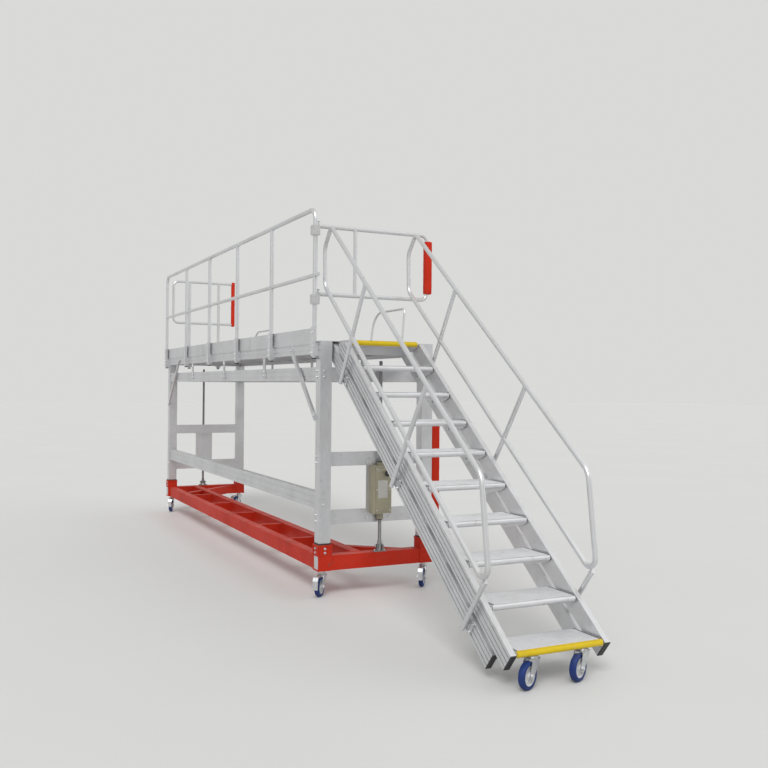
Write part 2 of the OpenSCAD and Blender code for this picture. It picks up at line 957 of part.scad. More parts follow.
module gate_frame() {
    low = deck_h + gate_bottom;
    high = deck_h + gate_top;
    end = gate_x + gate_l;
    color(aluminium)
        placed()
            difference() {
                union() {
                    in_end_plane(gate_y)
                        bent_tube([[gate_x, low, 0], [end, low, gate_bend], [end, high, gate_bend],
                            [gate_x, high, 0]], loop_tube);
                    for (z = [low, high])
                        translate([gate_x, gate_y, z - barrel_h / 2 + seat])
                            cylinder(h = barrel_h, d = loop_tube);
                    bar([gate_x + gate_post, gate_y, low], [gate_x + gate_post, gate_y, high], loop_tube - 2);
                }
                for (z = [low, high])
                    translate([gate_x, gate_y, z - barrel_h / 2])
                        cylinder(h = barrel_h * 0.75, r = gate_pin / 2 + pin_play);
            }
}

module gate_pad() {
    color(pad_red)
        placed()
            translate([gate_x + gate_l, gate_y, deck_h])
                sleeve(gate_pad_w, 0.25 * pad_w, loop_tube, gate_bottom + gate_bend, gate_top - gate_bend);
}

// Stairs. Points are [y, z].
function nosing_at(i) = [-nose_out - tread_run * (tread_n + 1 - i), first_h + rise * (i - 1)];
function on_stairs(a, h) = nosing_at(1) + a * along + h * upward;
function on_y(y, h) = nosing_at(1)[1] + (y - nosing_at(1)[0]) * tan(slope) + h / cos(slope);

string_low = 50;
string_high = 30;
head_gap = 15;
cap_t = 6;

// A stringer's section with three grooves in its outer face, which lies towards +x
module string_section() {
    difference() {
        square([string_t, string_d], center = true);
        for (v = [-string_d * 0.3, 0, string_d * 0.3])
            translate([string_t / 2 - groove_d, v - groove_w / 2])
                square([groove_d + 1, groove_w]);
    }
}

// Moves a section on to the slope through a pin of the first tread, a distance along it
module on_slope(pin, side, a) {
    p = nosing_at(1) + pin + a * along;
    translate([stair_x + side * (string_in + string_t / 2), p[0], p[1]])
        rotate([slope, 0, 0])
            facing(side)
                rotate([90, 0, 0])
                    children();
}

// Both stringers that carry the given pins of the levels
module stringers(pin) {
    l = step_l * tread_n + string_high;
    for (side = [-1, 1])
        difference() {
            on_slope(pin, side, l)
                linear_extrude(l + string_low)
                    string_section();
            for (i = [0 : tread_n]) {
                p = nosing_at(1) + pin + i * step_l * along;
                translate([stair_x + side * (string_in - 1), p[0], p[1]])
                    rotate([0, side * 90, 0])
                        cylinder(h = pin_bite + 2, r = pin_d / 2 + pin_play);
            }
            // The head is cut level under the deck.
            block([0, -2 * nose_out, deck_under - head_gap], [frame_w, nose_out, deck_h + string_d]);
        }
}

module caps(pin) {
    for (side = [-1, 1])
        on_slope(pin, side, -string_low)
            linear_extrude(cap_t)
                square([string_t, string_d], center = true);
}

module upper_stringers() {
    color(aluminium)
        placed()
            stringers(front_pin);
}

module upper_caps() {
    color(cap_black)
        placed()
            caps(front_pin);
}

module lower_stringers() {
    color(aluminium)
        placed()
            stringers(rear_pin);
}

module lower_caps() {
    color(cap_black)
        placed()
            caps(rear_pin);
}

// Handrails: closed loops that stand on the lower stringers
hand_lean = 12;
hand_front = -15;
hand_foot = 0.63;

module handrail(side) {
    toe_y = nosing_at(1)[0] + hand_foot * tread_run;
    path = [
        [nosing_at(2)[0], on_y(nosing_at(2)[0], hand_top), 130],
        [toe_y, nosing_at(1)[1] + hand_toe, 60],
        [hand_back - hand_lean, on_y(hand_back - hand_lean, hand_low), 110],
        [hand_back, deck_h + hand_corner, 110],
        [hand_front, on_y(hand_front, hand_top), 50]];
    in_side_plane(stair_x + side * hand_x)
        bent_tube(path, loop_tube, true);
}

module handrails() {
    color(aluminium)
        placed()
            for (side = [-1, 1])
                handrail(side);
}

// Each strut: place of its foot and of its head as parts of the slope's length, height of its head
S_FOOT = 0;
S_HEAD = 1;
S_TOP = 2;
struts = [[0.128, 0.13, hand_low], [0.54, 0.555, hand_top], [0.93, 0.962, hand_top]];
strut_foot = rear_pin * upward;
flange_w = 95;
flange_d = 90;
spacer_w = 44;
spacer_d = 60;
strut_over = 45;

module handrail_struts() {
    run = tread_n * step_l;
    half = hand_out / 2;
    color(aluminium)
        placed()
            for (side = [-1, 1]) {
                difference() {
                    for (s = struts) {
                        a = on_stairs(s[S_FOOT] * run, strut_foot);
                        b = on_stairs(s[S_HEAD] * run, s[S_TOP]);
                        x = stair_x + side * hand_x;
                        c = a - strut_over * unit(b - a);
                        bar([x, c[0], c[1]], [x, b[0], b[1]], loop_tube - 2);
                    }
                    handrail(side);
                }
                for (s = struts) {
                    c = on_stairs(s[S_FOOT] * run, strut_foot);
                    translate([stair_x + side * string_out, c[0], c[1]])
                        rotate([slope, 0, 0])
                            facing(side) {
                                block([0, -flange_w / 2, -flange_d / 2], [half, flange_w / 2, flange_d / 2]);
                                block([half + weld, -spacer_w / 2, -spacer_d / 2],
                                    [hand_out + weld, spacer_w / 2, spacer_d / 2]);
                            }
                }
            }
}

// Tread 1 has no front of its own, and takes the kingpins of the stair castors.
module tread(i) {
    color(aluminium)
        placed()
            translate([stair_x, nosing_at(i)[0], nosing_at(i)[1]]) {
                if (i == 1)
                    difference() {
                        block([-plank_l / 2, nosing_back, -tread_t], [plank_l / 2, tread_d, 0]);
                        for (side = [-1, 1])
                            translate([side * stair_castor_x, stair_castor_y - nosing_at(1)[0], -tread_t - 1])
                                cylinder(h = tread_t * 0.75, r = axle_d / 2 + pin_play);
                    }
                else
                    across_stairs(plank_l)
                        round_nosed();
                cheeks();
            }
}

module first_nosing() {
    nosing(nosing_at(1));
}

// Castors. A fork is drawn with its swivel axis at the origin and its wheel towards +x.
leg_t = 5;
leg_in = tyre_w / 2 + 7;
crown_z = wheel_d + 6;
crown_back = 36;
crown_front = 44;

module fork_leg() {
    eye = 20;
    polygon([[-crown_back, crown_z + leg_t], [crown_front, crown_z + leg_t], [trail + eye, wheel_r + eye / 2],
        [trail + eye, wheel_r - eye / 2], [trail + eye / 2, wheel_r - eye], [trail - eye / 2, wheel_r - eye],
        [trail - eye, wheel_r - eye / 2]]);
}

// A foot pedal that reaches over the wheel and down behind it
module brake_pedal() {
    t = 5;
    x = trail + wheel_r + 8;
    low = 0.45 * wheel_d;
    bend = crown_z - 24;
    rotate([90, 0, 0])
        linear_extrude(pedal_w, center = true)
            polygon([[crown_front - 2, crown_z], [crown_front - 2, crown_z + t], [x + 4, crown_z + t],
                [pedal_reach - 4, bend], [pedal_reach, low], [pedal_reach - t, low], [pedal_reach - t - 4, bend - 2],
                [x, crown_z]]);
}

module fork(c) {
    neck = crown_z + 8;
    top = c[C_TOP] - seat;
    span = 2 * (leg_in + leg_t);
    color(zinc)
        placed()
            translate([c[C_X], c[C_Y], 0])
                rotate(c[C_TURN]) {
                    translate([0, 0, crown_z])
                        cylinder(h = neck - crown_z, d = span);
                    translate([0, 0, neck - 1])
                        cylinder(h = top - neck + 1, d = 0.85 * span);
                    translate([0, 0, crown_z])
                        cylinder(h = c[C_TOP] - crown_z + 20, d = axle_d);
                    block([-crown_back, -span / 2, crown_z], [crown_front, span / 2, crown_z + leg_t]);
                    for (side = [-1, 1])
                        translate([0, side * (leg_in + leg_t / 2), 0])
                            rotate([90, 0, 0])
                                linear_extrude(leg_t, center = true)
                                    fork_leg();
                    translate([trail, 0, wheel_r])
                        rotate([90, 0, 0])
                            cylinder(h = span + 10, d = axle_d, center = true);
                    if (c[C_BRAKE])
                        brake_pedal();
                }
}

// Half section of a wheel: hub, web, rim and tyre
module wheel_half() {
    bore = axle_d / 2 + pin_play;
    tyre_in = 0.72 * wheel_r;
    hub_t = 12;
    hub_w = tyre_w + 8;
    web_t = 14;
    rim_t = 9;
    translate([bore, -hub_w / 2])
        square([hub_t, hub_w]);
    translate([bore + hub_t - 1, -web_t / 2])
        square([tyre_in - bore - hub_t + 2, web_t]);
    translate([tyre_in - rim_t + 1, -tyre_w / 2 + 3])
        square([rim_t, tyre_w - 6]);
    difference() {
        translate([tyre_in, -tyre_w / 2])
            square([wheel_r - tyre_in, tyre_w]);
        for (side = [-1, 1])
            translate([wheel_r - tyre_round, side * (tyre_w / 2 - tyre_round)])
                difference() {
                    translate([0, side > 0 ? 0 : -tyre_round - 1])
                        square(tyre_round + 1);
                    circle(r = tyre_round);
                }
    }
}

module wheel(c) {
    color(wheel_blue)
        placed()
            translate([c[C_X], c[C_Y], 0])
                rotate(c[C_TURN])
                    translate([trail, 0, wheel_r])
                        rotate([90, 0, 0])
                            rotate_extrude()
                                wheel_half();
}

base_side_beams();
base_end_beams();
base_rungs();
base_braces();
base_sockets();
masts();
jack_screws();
posts();
side_rails();
cross_rails();
deck_edges();
deck_joists();
deck_plate();
landing();
landing_nosing();
toe_boards();
guard_uprights();
guard_rails();
far_guard_loop();
bumper_pads();
deck_hoops();
gearboxes();
gearbox_plates();
knee_braces();
hangers();
gate_clamps();
gate_frame();
gate_pad();
upper_stringers();
upper_caps();
lower_stringers();
lower_caps();
handrails();
handrail_struts();
tread(1);  // tread_1
tread(2);  // tread_2
tread(3);  // tread_3
tread(4);  // tread_4
tread(5);  // tread_5
tread(6);  // tread_6
tread(7);  // tread_7
tread(8);  // tread_8
tread(9);  // tread_9
first_nosing();
fork(NEAR_LEFT);  // fork_near_left
fork(NEAR_RIGHT);  // fork_near_right
fork(FAR_LEFT);  // fork_far_left
fork(FAR_RIGHT);  // fork_far_right
fork(STAIR_LEFT);  // fork_stair_left
fork(STAIR_RIGHT);  // fork_stair_right
wheel(NEAR_LEFT);  // wheel_near_left
wheel(NEAR_RIGHT);  // wheel_near_right
wheel(FAR_LEFT);  // wheel_far_left
wheel(FAR_RIGHT);  // wheel_far_right
wheel(STAIR_LEFT);  // wheel_stair_left
wheel(STAIR_RIGHT);  // wheel_stair_right
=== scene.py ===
"""Looks of the mobile aircraft stairs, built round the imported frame.

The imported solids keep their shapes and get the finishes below. Castor wheels, foam pads, bolts, welds,
tread ribs, deck pattern and blank plates are built here, and each rides on the body that carries it.
All shapes are drawn in millimetres from the outer near corner of the near left post, as the solids are.
"""

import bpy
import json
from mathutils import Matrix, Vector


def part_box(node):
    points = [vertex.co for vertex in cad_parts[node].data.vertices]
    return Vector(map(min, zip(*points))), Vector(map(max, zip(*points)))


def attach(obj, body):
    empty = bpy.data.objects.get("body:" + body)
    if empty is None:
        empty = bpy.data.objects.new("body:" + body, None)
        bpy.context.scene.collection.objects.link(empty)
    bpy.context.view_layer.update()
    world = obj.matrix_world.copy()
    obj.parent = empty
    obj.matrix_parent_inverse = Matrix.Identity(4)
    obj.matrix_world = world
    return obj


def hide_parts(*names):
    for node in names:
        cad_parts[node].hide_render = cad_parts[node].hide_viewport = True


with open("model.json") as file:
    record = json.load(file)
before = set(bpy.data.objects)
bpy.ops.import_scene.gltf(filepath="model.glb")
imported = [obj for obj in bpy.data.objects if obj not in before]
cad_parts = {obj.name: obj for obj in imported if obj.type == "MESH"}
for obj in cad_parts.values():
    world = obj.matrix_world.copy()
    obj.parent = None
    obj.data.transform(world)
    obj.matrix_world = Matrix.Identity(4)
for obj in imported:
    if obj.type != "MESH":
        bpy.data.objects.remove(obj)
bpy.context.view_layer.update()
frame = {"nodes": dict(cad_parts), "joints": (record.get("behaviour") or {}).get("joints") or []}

import json  # noqa: E402
import logging  # noqa: E402
import math  # noqa: E402
from collections.abc import Iterable, Sequence  # noqa: E402
from dataclasses import dataclass, field  # noqa: E402
from enum import Enum, IntEnum  # noqa: E402

import bpy  # noqa: E402
from mathutils import Matrix, Vector, noise  # noqa: E402

LOG = logging.getLogger("aircraft_stairs")
ORIGIN = Vector((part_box("posts")[0].x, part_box("posts")[0].y, 0.0))
MM = 0.001
X, Y, Z = Vector((1, 0, 0)), Vector((0, 1, 0)), Vector((0, 0, 1))
JOINTS = {joint["name"]: joint for joint in frame["joints"]}

Colour = tuple[float, float, float]
Size = tuple[float, float, float]
Span = tuple[float, float]
Profile = tuple[Span, ...]
Ring = list[Vector]
Socket = bpy.types.NodeSocket
WHOLE: Span = (0.0, 1.0)


def to_mm(point: Sequence[float]) -> Vector:
    """Turns a place in the row frame into millimetres from the near left post's corner."""
    return (Vector(point) - ORIGIN) / MM


def node_box(node: str) -> tuple[Vector, Vector]:
    """Gives a node's lowest and highest corner in millimetres."""
    low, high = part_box(node)
    return to_mm(low), to_mm(high)


# Finishes


class Lay(Enum):
    """Direction of the fine lines in a surface, as how dense they are along x, y and z."""

    EVEN = (1.0, 1.0, 1.0)
    ALONG_X = (0.03, 1.0, 1.0)
    ALONG_Y = (1.0, 0.03, 1.0)
    ALONG_Z = (1.0, 1.0, 0.03)
    ALONG_SLOPE = (1.0, 0.031, 1.0)


class Grain(Enum):
    """Kind of relief that a surface has."""

    DRAWN = "drawn"
    ORANGE_PEEL = "orange peel"
    FOAM = "foam"
    CAST = "cast"
    SPANGLE = "spangle"
    THREAD = "thread"


@dataclass(frozen=True)
class Finish:
    """One procedural finish: colour with patches, chips, dust, roughness and relief.

    A scale is in clouds to the metre. A share is the most that a layer shows, an edge the two noise
    values between which it comes in, and layers the number of finer clouds and their weight. The
    lines along the lay change the brightness by line_tone and the roughness by rough_lines.
    """

    name: str
    slot: str
    colour: Colour
    patch_colour: Colour
    chip_colour: Colour
    roughness: float
    metallic: float = 0.0
    grain: Grain = Grain.CAST
    lay: Lay = Lay.EVEN
    patch_scale: float = 2.2
    patch_share: float = 0.5
    patch_edge: Span = (0.42, 0.68)
    patch_layers: Span = (5.0, 0.62)
    chip_scale: float = 14.0
    chip_share: float = 0.1
    chip_edge: Span = (0.60, 0.66)
    chip_layers: Span = (9.0, 0.72)
    chip_depth: float = 1.5
    dust_share: float = 0.15
    dust_colour: Colour = (0.46, 0.43, 0.38)
    dust_scale: float = 5.5
    dust_edge: Span = (0.38, 0.72)
    dust_layers: Span = (6.0, 0.7)
    dust_slope: Span = (0.45, 0.95)
    dust_upright: float = 0.12
    line_edge: Span = (0.30, 0.70)
    line_layers: Span = (3.0, 0.6)
    line_tone: Span = (0.90, 1.08)
    rough_edge: Span = (0.25, 0.75)
    rough_spread: float = 0.12
    rough_line_edge: Span = (0.2, 0.8)
    rough_lines: Span = (-0.04, 0.05)
    grain_scale: float = 260.0
    grain_depth: float = 0.0006
    grain_strength: float = 0.35
    grain_layers: Span = (2.0, 0.5)
    slope_deg: float = 38.2
    shine: float = 0.5

    def material(self) -> bpy.types.Material:
        """Builds the finish's material, or gives the one built before.

        Returns:
            The material, made of nodes that read only the surface itself.
        """
        found = bpy.data.materials.get(self.name)
        if found:
            return found
        made = bpy.data.materials.new(self.name)
        made.use_nodes = True
        graph = Graph(made.node_tree)
        shader = graph.surface()
        place = graph.place()
        lines = self._lines(graph, place)
        patches = graph.noise(place, self.patch_scale, self.patch_layers)
        patch_mask = graph.ramp(patches, self.patch_edge, (0.0, self.patch_share))
        colour = graph.blend(self.colour, self.patch_colour, patch_mask)
        fine = graph.noise(place, self.chip_scale, self.chip_layers)
        chip_mask = graph.ramp(fine, self.chip_edge, (0.0, self.chip_share))
        colour = graph.blend(colour, self.chip_colour, chip_mask)
        colour = graph.blend(colour, self.dust_colour, self._dust(graph, place))
        colour = graph.scaled(colour, graph.ramp(lines, self.line_edge, self.line_tone))
        graph.link(colour, shader.inputs["Base Color"])
        sheen, dull = self.roughness - self.rough_spread / 2, self.roughness + self.rough_spread
        rough = graph.ramp(patches, self.rough_edge, (sheen, dull))
        rough = graph.sum(rough, graph.ramp(lines, self.rough_line_edge, self.rough_lines))
        graph.link(rough, shader.inputs["Roughness"])
        graph.link(self._relief(graph, place, lines, chip_mask), shader.inputs["Normal"])
        shader.inputs["Metallic"].default_value = self.metallic
        shader.inputs["Specular IOR Level"].default_value = self.shine
        return made

    def _lines(self, graph: "Graph", place: Socket) -> Socket:
        """Makes the fine lines that run along the lay.

        Args:
            graph: The node tree to draw in.
            place: The object coordinates.

        Returns:
            A value around 0.5.
        """
        mapping = graph.add("ShaderNodeMapping")
        graph.link(place, mapping.inputs["Vector"])
        if self.lay is Lay.ALONG_SLOPE:
            mapping.vector_type = "TEXTURE"
            mapping.inputs["Rotation"].default_value = (math.radians(self.slope_deg), 0, 0)
            mapping.inputs["Scale"].default_value = tuple(1 / s for s in self.lay.value)
        else:
            mapping.inputs["Scale"].default_value = self.lay.value
        return graph.noise(mapping.outputs[0], self.grain_scale, self.line_layers)

    def _dust(self, graph: "Graph", place: Socket) -> Socket:
        """Lays dust on the faces that look up.

        Args:
            graph: The node tree to draw in.
            place: The object coordinates.

        Returns:
            The share of dust.
        """
        normal = graph.add("ShaderNodeNewGeometry").outputs["Normal"]
        split = graph.add("ShaderNodeSeparateXYZ")
        graph.link(normal, split.inputs[0])
        upward = graph.ramp(split.outputs["Z"], self.dust_slope, (self.dust_upright, 1.0))
        clouds = graph.noise(place, self.dust_scale, self.dust_layers)
        return graph.product(upward, graph.ramp(clouds, self.dust_edge, (0.0, self.dust_share)))

    def _relief(self, graph: "Graph", place: Socket, lines: Socket, chips: Socket) -> Socket:
        """Makes the small relief of the surface.

        Args:
            graph: The node tree to draw in.
            place: The object coordinates.
            lines: The fine lines along the lay.
            chips: Where the surface is chipped.

        Returns:
            The bent normal.
        """
        if self.grain is Grain.DRAWN:
            height = lines
        elif self.grain in (Grain.FOAM, Grain.SPANGLE):
            cells = graph.add("ShaderNodeTexVoronoi")
            cells.inputs["Scale"].default_value = self.grain_scale
            graph.link(place, cells.inputs["Vector"])
            height = cells.outputs["Distance"]
        elif self.grain is Grain.THREAD:
            turns = graph.add("ShaderNodeTexWave")
            turns.bands_direction = "Z"
            turns.inputs["Scale"].default_value = self.grain_scale
            graph.link(place, turns.inputs["Vector"])
            height = turns.outputs[1]
        else:
            height = graph.noise(place, self.grain_scale, self.grain_layers)
        worn = graph.sum(height, graph.ramp(chips, WHOLE, (0.0, -self.chip_depth)))
        bump = graph.add("ShaderNodeBump")
        bump.inputs["Strength"].default_value = self.grain_strength
        bump.inputs["Distance"].default_value = self.grain_depth
        graph.link(worn, bump.inputs["Height"])
        return bump.outputs[0]


@dataclass
class Graph:
    """Adds nodes to a material's tree and links them."""

    tree: bpy.types.NodeTree

    def __post_init__(self) -> None:
        """Starts from an empty tree."""
        self.tree.nodes.clear()

    def add(self, kind: str) -> bpy.types.Node:
        """Adds a node of a kind."""
        return self.tree.nodes.new(kind)

    def link(self, start: Socket, end: Socket) -> None:
        """Links two sockets."""
        self.tree.links.new(start, end)

    def surface(self) -> bpy.types.Node:
        """Adds the surface shader and the output that it feeds.

        Returns:
            The shader.
        """
        shader = self.add("ShaderNodeBsdfPrincipled")
        output = self.add("ShaderNodeOutputMaterial")
        self.link(shader.outputs[0], output.inputs[0])
        return shader

    def place(self) -> Socket:
        """Gives the surface's own coordinates, in metres."""
        return self.add("ShaderNodeTexCoord").outputs["Object"]

    def noise(self, place: Socket, scale: float, layers: Span) -> Socket:
        """Makes cloudy noise.

        Args:
            place: Coordinates to read.
            scale: Clouds to the metre.
            layers: Number of finer clouds, and their weight.

        Returns:
            A value around 0.5.
        """
        node = self.add("ShaderNodeTexNoise")
        self.link(place, node.inputs["Vector"])
        for name, number in zip(("Scale", "Detail", "Roughness"), (scale, *layers), strict=True):
            node.inputs[name].default_value = number
        return node.outputs[0]

    def ramp(self, value: Socket, edge: Span, result: Span) -> Socket:
        """Maps a value between two limits to two others, and holds it there.

        Args:
            value: The value.
            edge: The two limits.
            result: What the limits become.

        Returns:
            The mapped value.
        """
        node = self.add("ShaderNodeMapRange")
        self.link(value, node.inputs[0])
        for socket, number in zip(node.inputs[1:5], (*edge, *result), strict=True):
            socket.default_value = number
        return node.outputs[0]

    def blend(self, first: Socket | Colour, second: Colour, share: Socket) -> Socket:
        """Mixes a colour into another by a share.

        Args:
            first: The colour below.
            second: The colour above.
            share: How much of the colour above shows.

        Returns:
            The mixed colour.
        """
        node = self.add("ShaderNodeMix")
        node.data_type = "RGBA"
        below, above = (socket for socket in node.inputs if socket.type == "RGBA")
        self.link(share, node.inputs[0])
        if isinstance(first, tuple):
            below.default_value = (*first, 1.0)
        else:
            self.link(first, below)
        above.default_value = (*second, 1.0)
        return next(socket for socket in node.outputs if socket.type == "RGBA")

    def scaled(self, colour: Socket, factor: Socket) -> Socket:
        """Multiplies a colour by a value.

        Args:
            colour: The colour.
            factor: The value.

        Returns:
            The brighter or darker colour.
        """
        node = self.add("ShaderNodeVectorMath")
        node.operation = "SCALE"
        self.link(colour, node.inputs[0])
        self.link(factor, node.inputs["Scale"])
        return node.outputs[0]

    def sum(self, first: Socket, second: Socket) -> Socket:
        """Adds two values."""
        return self._math("ADD", first, second)

    def product(self, first: Socket, second: Socket) -> Socket:
        """Multiplies two values."""
        return self._math("MULTIPLY", first, second)

    def _math(self, kind: str, first: Socket, second: Socket) -> Socket:
        """Combines two values.

        Args:
            kind: The operation's name in Blender.
            first: The first value.
            second: The second value.

        Returns:
            The result.
        """
        node = self.add("ShaderNodeMath")
        node.operation = kind
        self.link(first, node.inputs[0])
        self.link(second, node.inputs[1])
        return node.outputs[0]


def aluminium(name: str, lay: Lay, tone: float = 1.0, roughness: float = 0.42) -> Finish:
    """Makes the mill finish of a drawn aluminium section.

    Args:
        name: Name of the material.
        lay: Direction of the drawing lines.
        tone: Brightness.
        roughness: How dull it is.

    Returns:
        The finish.
    """
    return Finish(
        name=name,
        slot="aluminium",
        colour=(0.66 * tone, 0.665 * tone, 0.68 * tone),
        patch_colour=(0.53 * tone, 0.53 * tone, 0.53 * tone),
        chip_colour=(0.42, 0.41, 0.40),
        metallic=0.82,
        roughness=roughness,
        grain=Grain.DRAWN,
        lay=lay,
        chip_share=0.35,
        dust_share=0.30,
        grain_scale=420.0,
        grain_depth=0.0004,
        grain_strength=0.25,
    )


ALONG_X = aluminium("aluminium_across", Lay.ALONG_X)
ALONG_Y = aluminium("aluminium_lengthwise", Lay.ALONG_Y)
ALONG_Z = aluminium("aluminium_upright", Lay.ALONG_Z)
SLOPING = aluminium("aluminium_sloping", Lay.ALONG_SLOPE, 1.02)
TUBE = aluminium("aluminium_tube", Lay.EVEN, 1.06, 0.34)
TREAD = aluminium("aluminium_tread", Lay.ALONG_X, 1.16, 0.46)
DECK = Finish(
    name="deck_plate_metal",
    slot="deck_tread_plate",
    colour=(0.60, 0.605, 0.61),
    patch_colour=(0.44, 0.43, 0.41),
    chip_colour=(0.30, 0.29, 0.27),
    metallic=0.75,
    roughness=0.46,
    patch_share=0.7,
    chip_share=0.4,
    dust_share=0.45,
    grain_scale=180.0,
)
BASE_PAINT = Finish(
    name="red_frame_paint",
    slot="base_steel",
    colour=(0.54, 0.024, 0.007),
    patch_colour=(0.42, 0.020, 0.007),
    chip_colour=(0.16, 0.07, 0.05),
    roughness=0.48,
    grain=Grain.ORANGE_PEEL,
    patch_share=0.7,
    chip_share=0.6,
    dust_share=0.2,
    grain_scale=160.0,
    shine=0.16,
)
ZINC = Finish(
    name="zinc_plating",
    slot="zinc_steel",
    colour=(0.60, 0.61, 0.62),
    patch_colour=(0.46, 0.47, 0.48),
    chip_colour=(0.30, 0.26, 0.22),
    metallic=0.9,
    roughness=0.36,
    grain=Grain.SPANGLE,
    patch_scale=30.0,
    chip_scale=60.0,
    chip_share=0.35,
    grain_scale=240.0,
)
BOLTS = Finish(
    name="bright_bolts",
    slot="zinc_steel",
    colour=(0.68, 0.68, 0.69),
    patch_colour=(0.50, 0.49, 0.47),
    chip_colour=(0.32, 0.29, 0.26),
    metallic=0.95,
    roughness=0.30,
    patch_scale=80.0,
    chip_scale=200.0,
    chip_share=0.3,
    grain_scale=900.0,
)
SCREW = Finish(
    name="oiled_screw",
    slot="dark_steel",
    colour=(0.27, 0.275, 0.28),
    patch_colour=(0.17, 0.165, 0.16),
    chip_colour=(0.40, 0.39, 0.38),
    metallic=0.85,
    roughness=0.30,
    grain=Grain.THREAD,
    patch_scale=9.0,
    chip_scale=50.0,
    chip_share=0.3,
    grain_scale=52.0,
    grain_depth=0.002,
    grain_strength=0.7,
)
GEAR_PAINT = Finish(
    name="beige_gearbox_paint",
    slot="gearbox_paint",
    colour=(0.36, 0.33, 0.23),
    patch_colour=(0.27, 0.25, 0.18),
    chip_colour=(0.16, 0.13, 0.10),
    roughness=0.45,
    patch_scale=6.0,
    chip_scale=30.0,
    chip_share=0.5,
    grain_scale=420.0,
    grain_depth=0.001,
)
FOAM = Finish(
    name="red_foam",
    slot="red_pad",
    colour=(0.62, 0.028, 0.008),
    patch_colour=(0.50, 0.022, 0.008),
    chip_colour=(0.34, 0.03, 0.02),
    roughness=0.74,
    grain=Grain.FOAM,
    patch_scale=9.0,
    chip_scale=26.0,
    chip_share=0.5,
    grain_scale=420.0,
    grain_depth=0.0012,
    grain_strength=0.5,
    dust_share=0.08,
    shine=0.2,
)
YELLOW = Finish(
    name="yellow_nosing_paint",
    slot="yellow_nosing",
    colour=(0.72, 0.52, 0.012),
    patch_colour=(0.60, 0.42, 0.015),
    chip_colour=(0.45, 0.42, 0.36),
    roughness=0.44,
    grain=Grain.ORANGE_PEEL,
    patch_scale=12.0,
    chip_scale=34.0,
    chip_share=0.7,
    grain_scale=300.0,
    shine=0.25,
)
TYRE = Finish(
    name="blue_tyre",
    slot="blue_wheel",
    colour=(0.010, 0.034, 0.17),
    patch_colour=(0.008, 0.022, 0.11),
    chip_colour=(0.06, 0.06, 0.08),
    roughness=0.52,
    patch_scale=20.0,
    chip_scale=60.0,
    chip_share=0.6,
    grain_scale=500.0,
    shine=0.3,
)
RIM = Finish(
    name="pale_rim",
    slot="blue_wheel",
    colour=(0.62, 0.63, 0.64),
    patch_colour=(0.48, 0.48, 0.48),
    chip_colour=(0.30, 0.29, 0.27),
    roughness=0.5,
    patch_scale=30.0,
    chip_scale=70.0,
    chip_share=0.4,
    grain_scale=420.0,
)
BLACK = Finish(
    name="black_cap_plastic",
    slot="black_cap",
    colour=(0.022, 0.022, 0.024),
    patch_colour=(0.04, 0.04, 0.042),
    chip_colour=(0.10, 0.10, 0.10),
    roughness=0.55,
    patch_scale=20.0,
    chip_scale=60.0,
    grain_scale=500.0,
)
GREY_CAP = Finish(
    name="grey_cap_plastic",
    slot="black_cap",
    colour=(0.20, 0.20, 0.20),
    patch_colour=(0.14, 0.14, 0.14),
    chip_colour=(0.30, 0.29, 0.28),
    roughness=0.6,
    patch_scale=20.0,
    chip_scale=60.0,
    grain_scale=500.0,
)
BLANK_PLATE = Finish(
    name="blank_pale_plate",
    slot="aluminium",
    colour=(0.52, 0.51, 0.47),
    patch_colour=(0.42, 0.41, 0.38),
    chip_colour=(0.40, 0.39, 0.37),
    roughness=0.4,
    grain=Grain.ORANGE_PEEL,
    patch_scale=18.0,
    chip_scale=60.0,
    chip_share=0.3,
    grain_scale=400.0,
)

DRESSED: set[str] = set()


def assign_nodes(finish: Finish, *nodes: str) -> None:
    """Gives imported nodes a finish.

    Args:
        finish: The finish.
        nodes: Names of the nodes.
    """
    for node in nodes:
        data = frame["nodes"][node].data
        data.materials.clear()
        data.materials.append(finish.material())
        DRESSED.add(node)


# Mesh building

# Washers and hexagon heads, as shares of half the width across the flats or of their own height.
# The washer's height is in millimetres and grows with the width.
WASHER_RIM, WASHER_LAND, WASHER_EDGE = 1.22, 1.12, 0.7
WASHER_T, WASHER_GROWTH = 1.0, 0.06
HEAD_LAND, HEAD_EDGE = 0.94, 0.82

# Socket screws, as shares of the head's radius or of its height
SCREW_LAND, SCREW_EDGE = 0.88, 0.8
SOCKET_R, SOCKET_WALL, SOCKET_TOP, SOCKET_FLOOR = 0.5, 0.52, 0.99, 0.35

# Angles of the rings of a round head, and the radius and height of a common rivet
DOME_STEPS = (0.0, 0.45, 0.9, 1.3)
RIVET: Span = (4.5, 2.6)

# Weld beads: spacing of the ripples in millimetres, and their sizes as shares of the bead's radius
BEAD_PITCH = 5.0
BEAD_TAPER, BEAD_WOBBLE = 0.55, 0.2
BEAD_RIPPLE: Span = (-0.07, 0.13)
COLLAR_RIPPLE: Span = (-0.08, 0.12)
BEAD_ROUND = [(math.cos(k * math.pi / 3), math.sin(k * math.pi / 3)) for k in range(6)]
WOBBLE_SCALE = 0.05

# Edges that turn by more than this, in degrees, stay sharp: on small bars, on most pieces and on foam
SHARP, CRISP, SOFT = 20.0, 38.0, 50.0

# Width of a common broken edge in millimetres, the most that an edge or a corner takes of half a
# block's size, and the cosine at which two directions count as one
BLUNT = 0.8
MOST_INSET = 0.45
MOST_ROUND = 0.98
NEARLY_ALONG = 0.99


class Bolt(Enum):
    """Hexagon bolts by use, each as the size across its flats and the height of its head."""

    AXLE = (24.0, 8.0)
    SOCKET = (17.0, 9.0)
    FRAME = (17.0, 7.0)
    GEARBOX = (16.0, 7.0)
    HANGER = (15.0, 6.0)
    STRUT = (13.0, 6.0)
    GUARD = (10.0, 5.0)
    HOOP = (10.0, 4.5)
    CRANK = (10.0, 4.0)


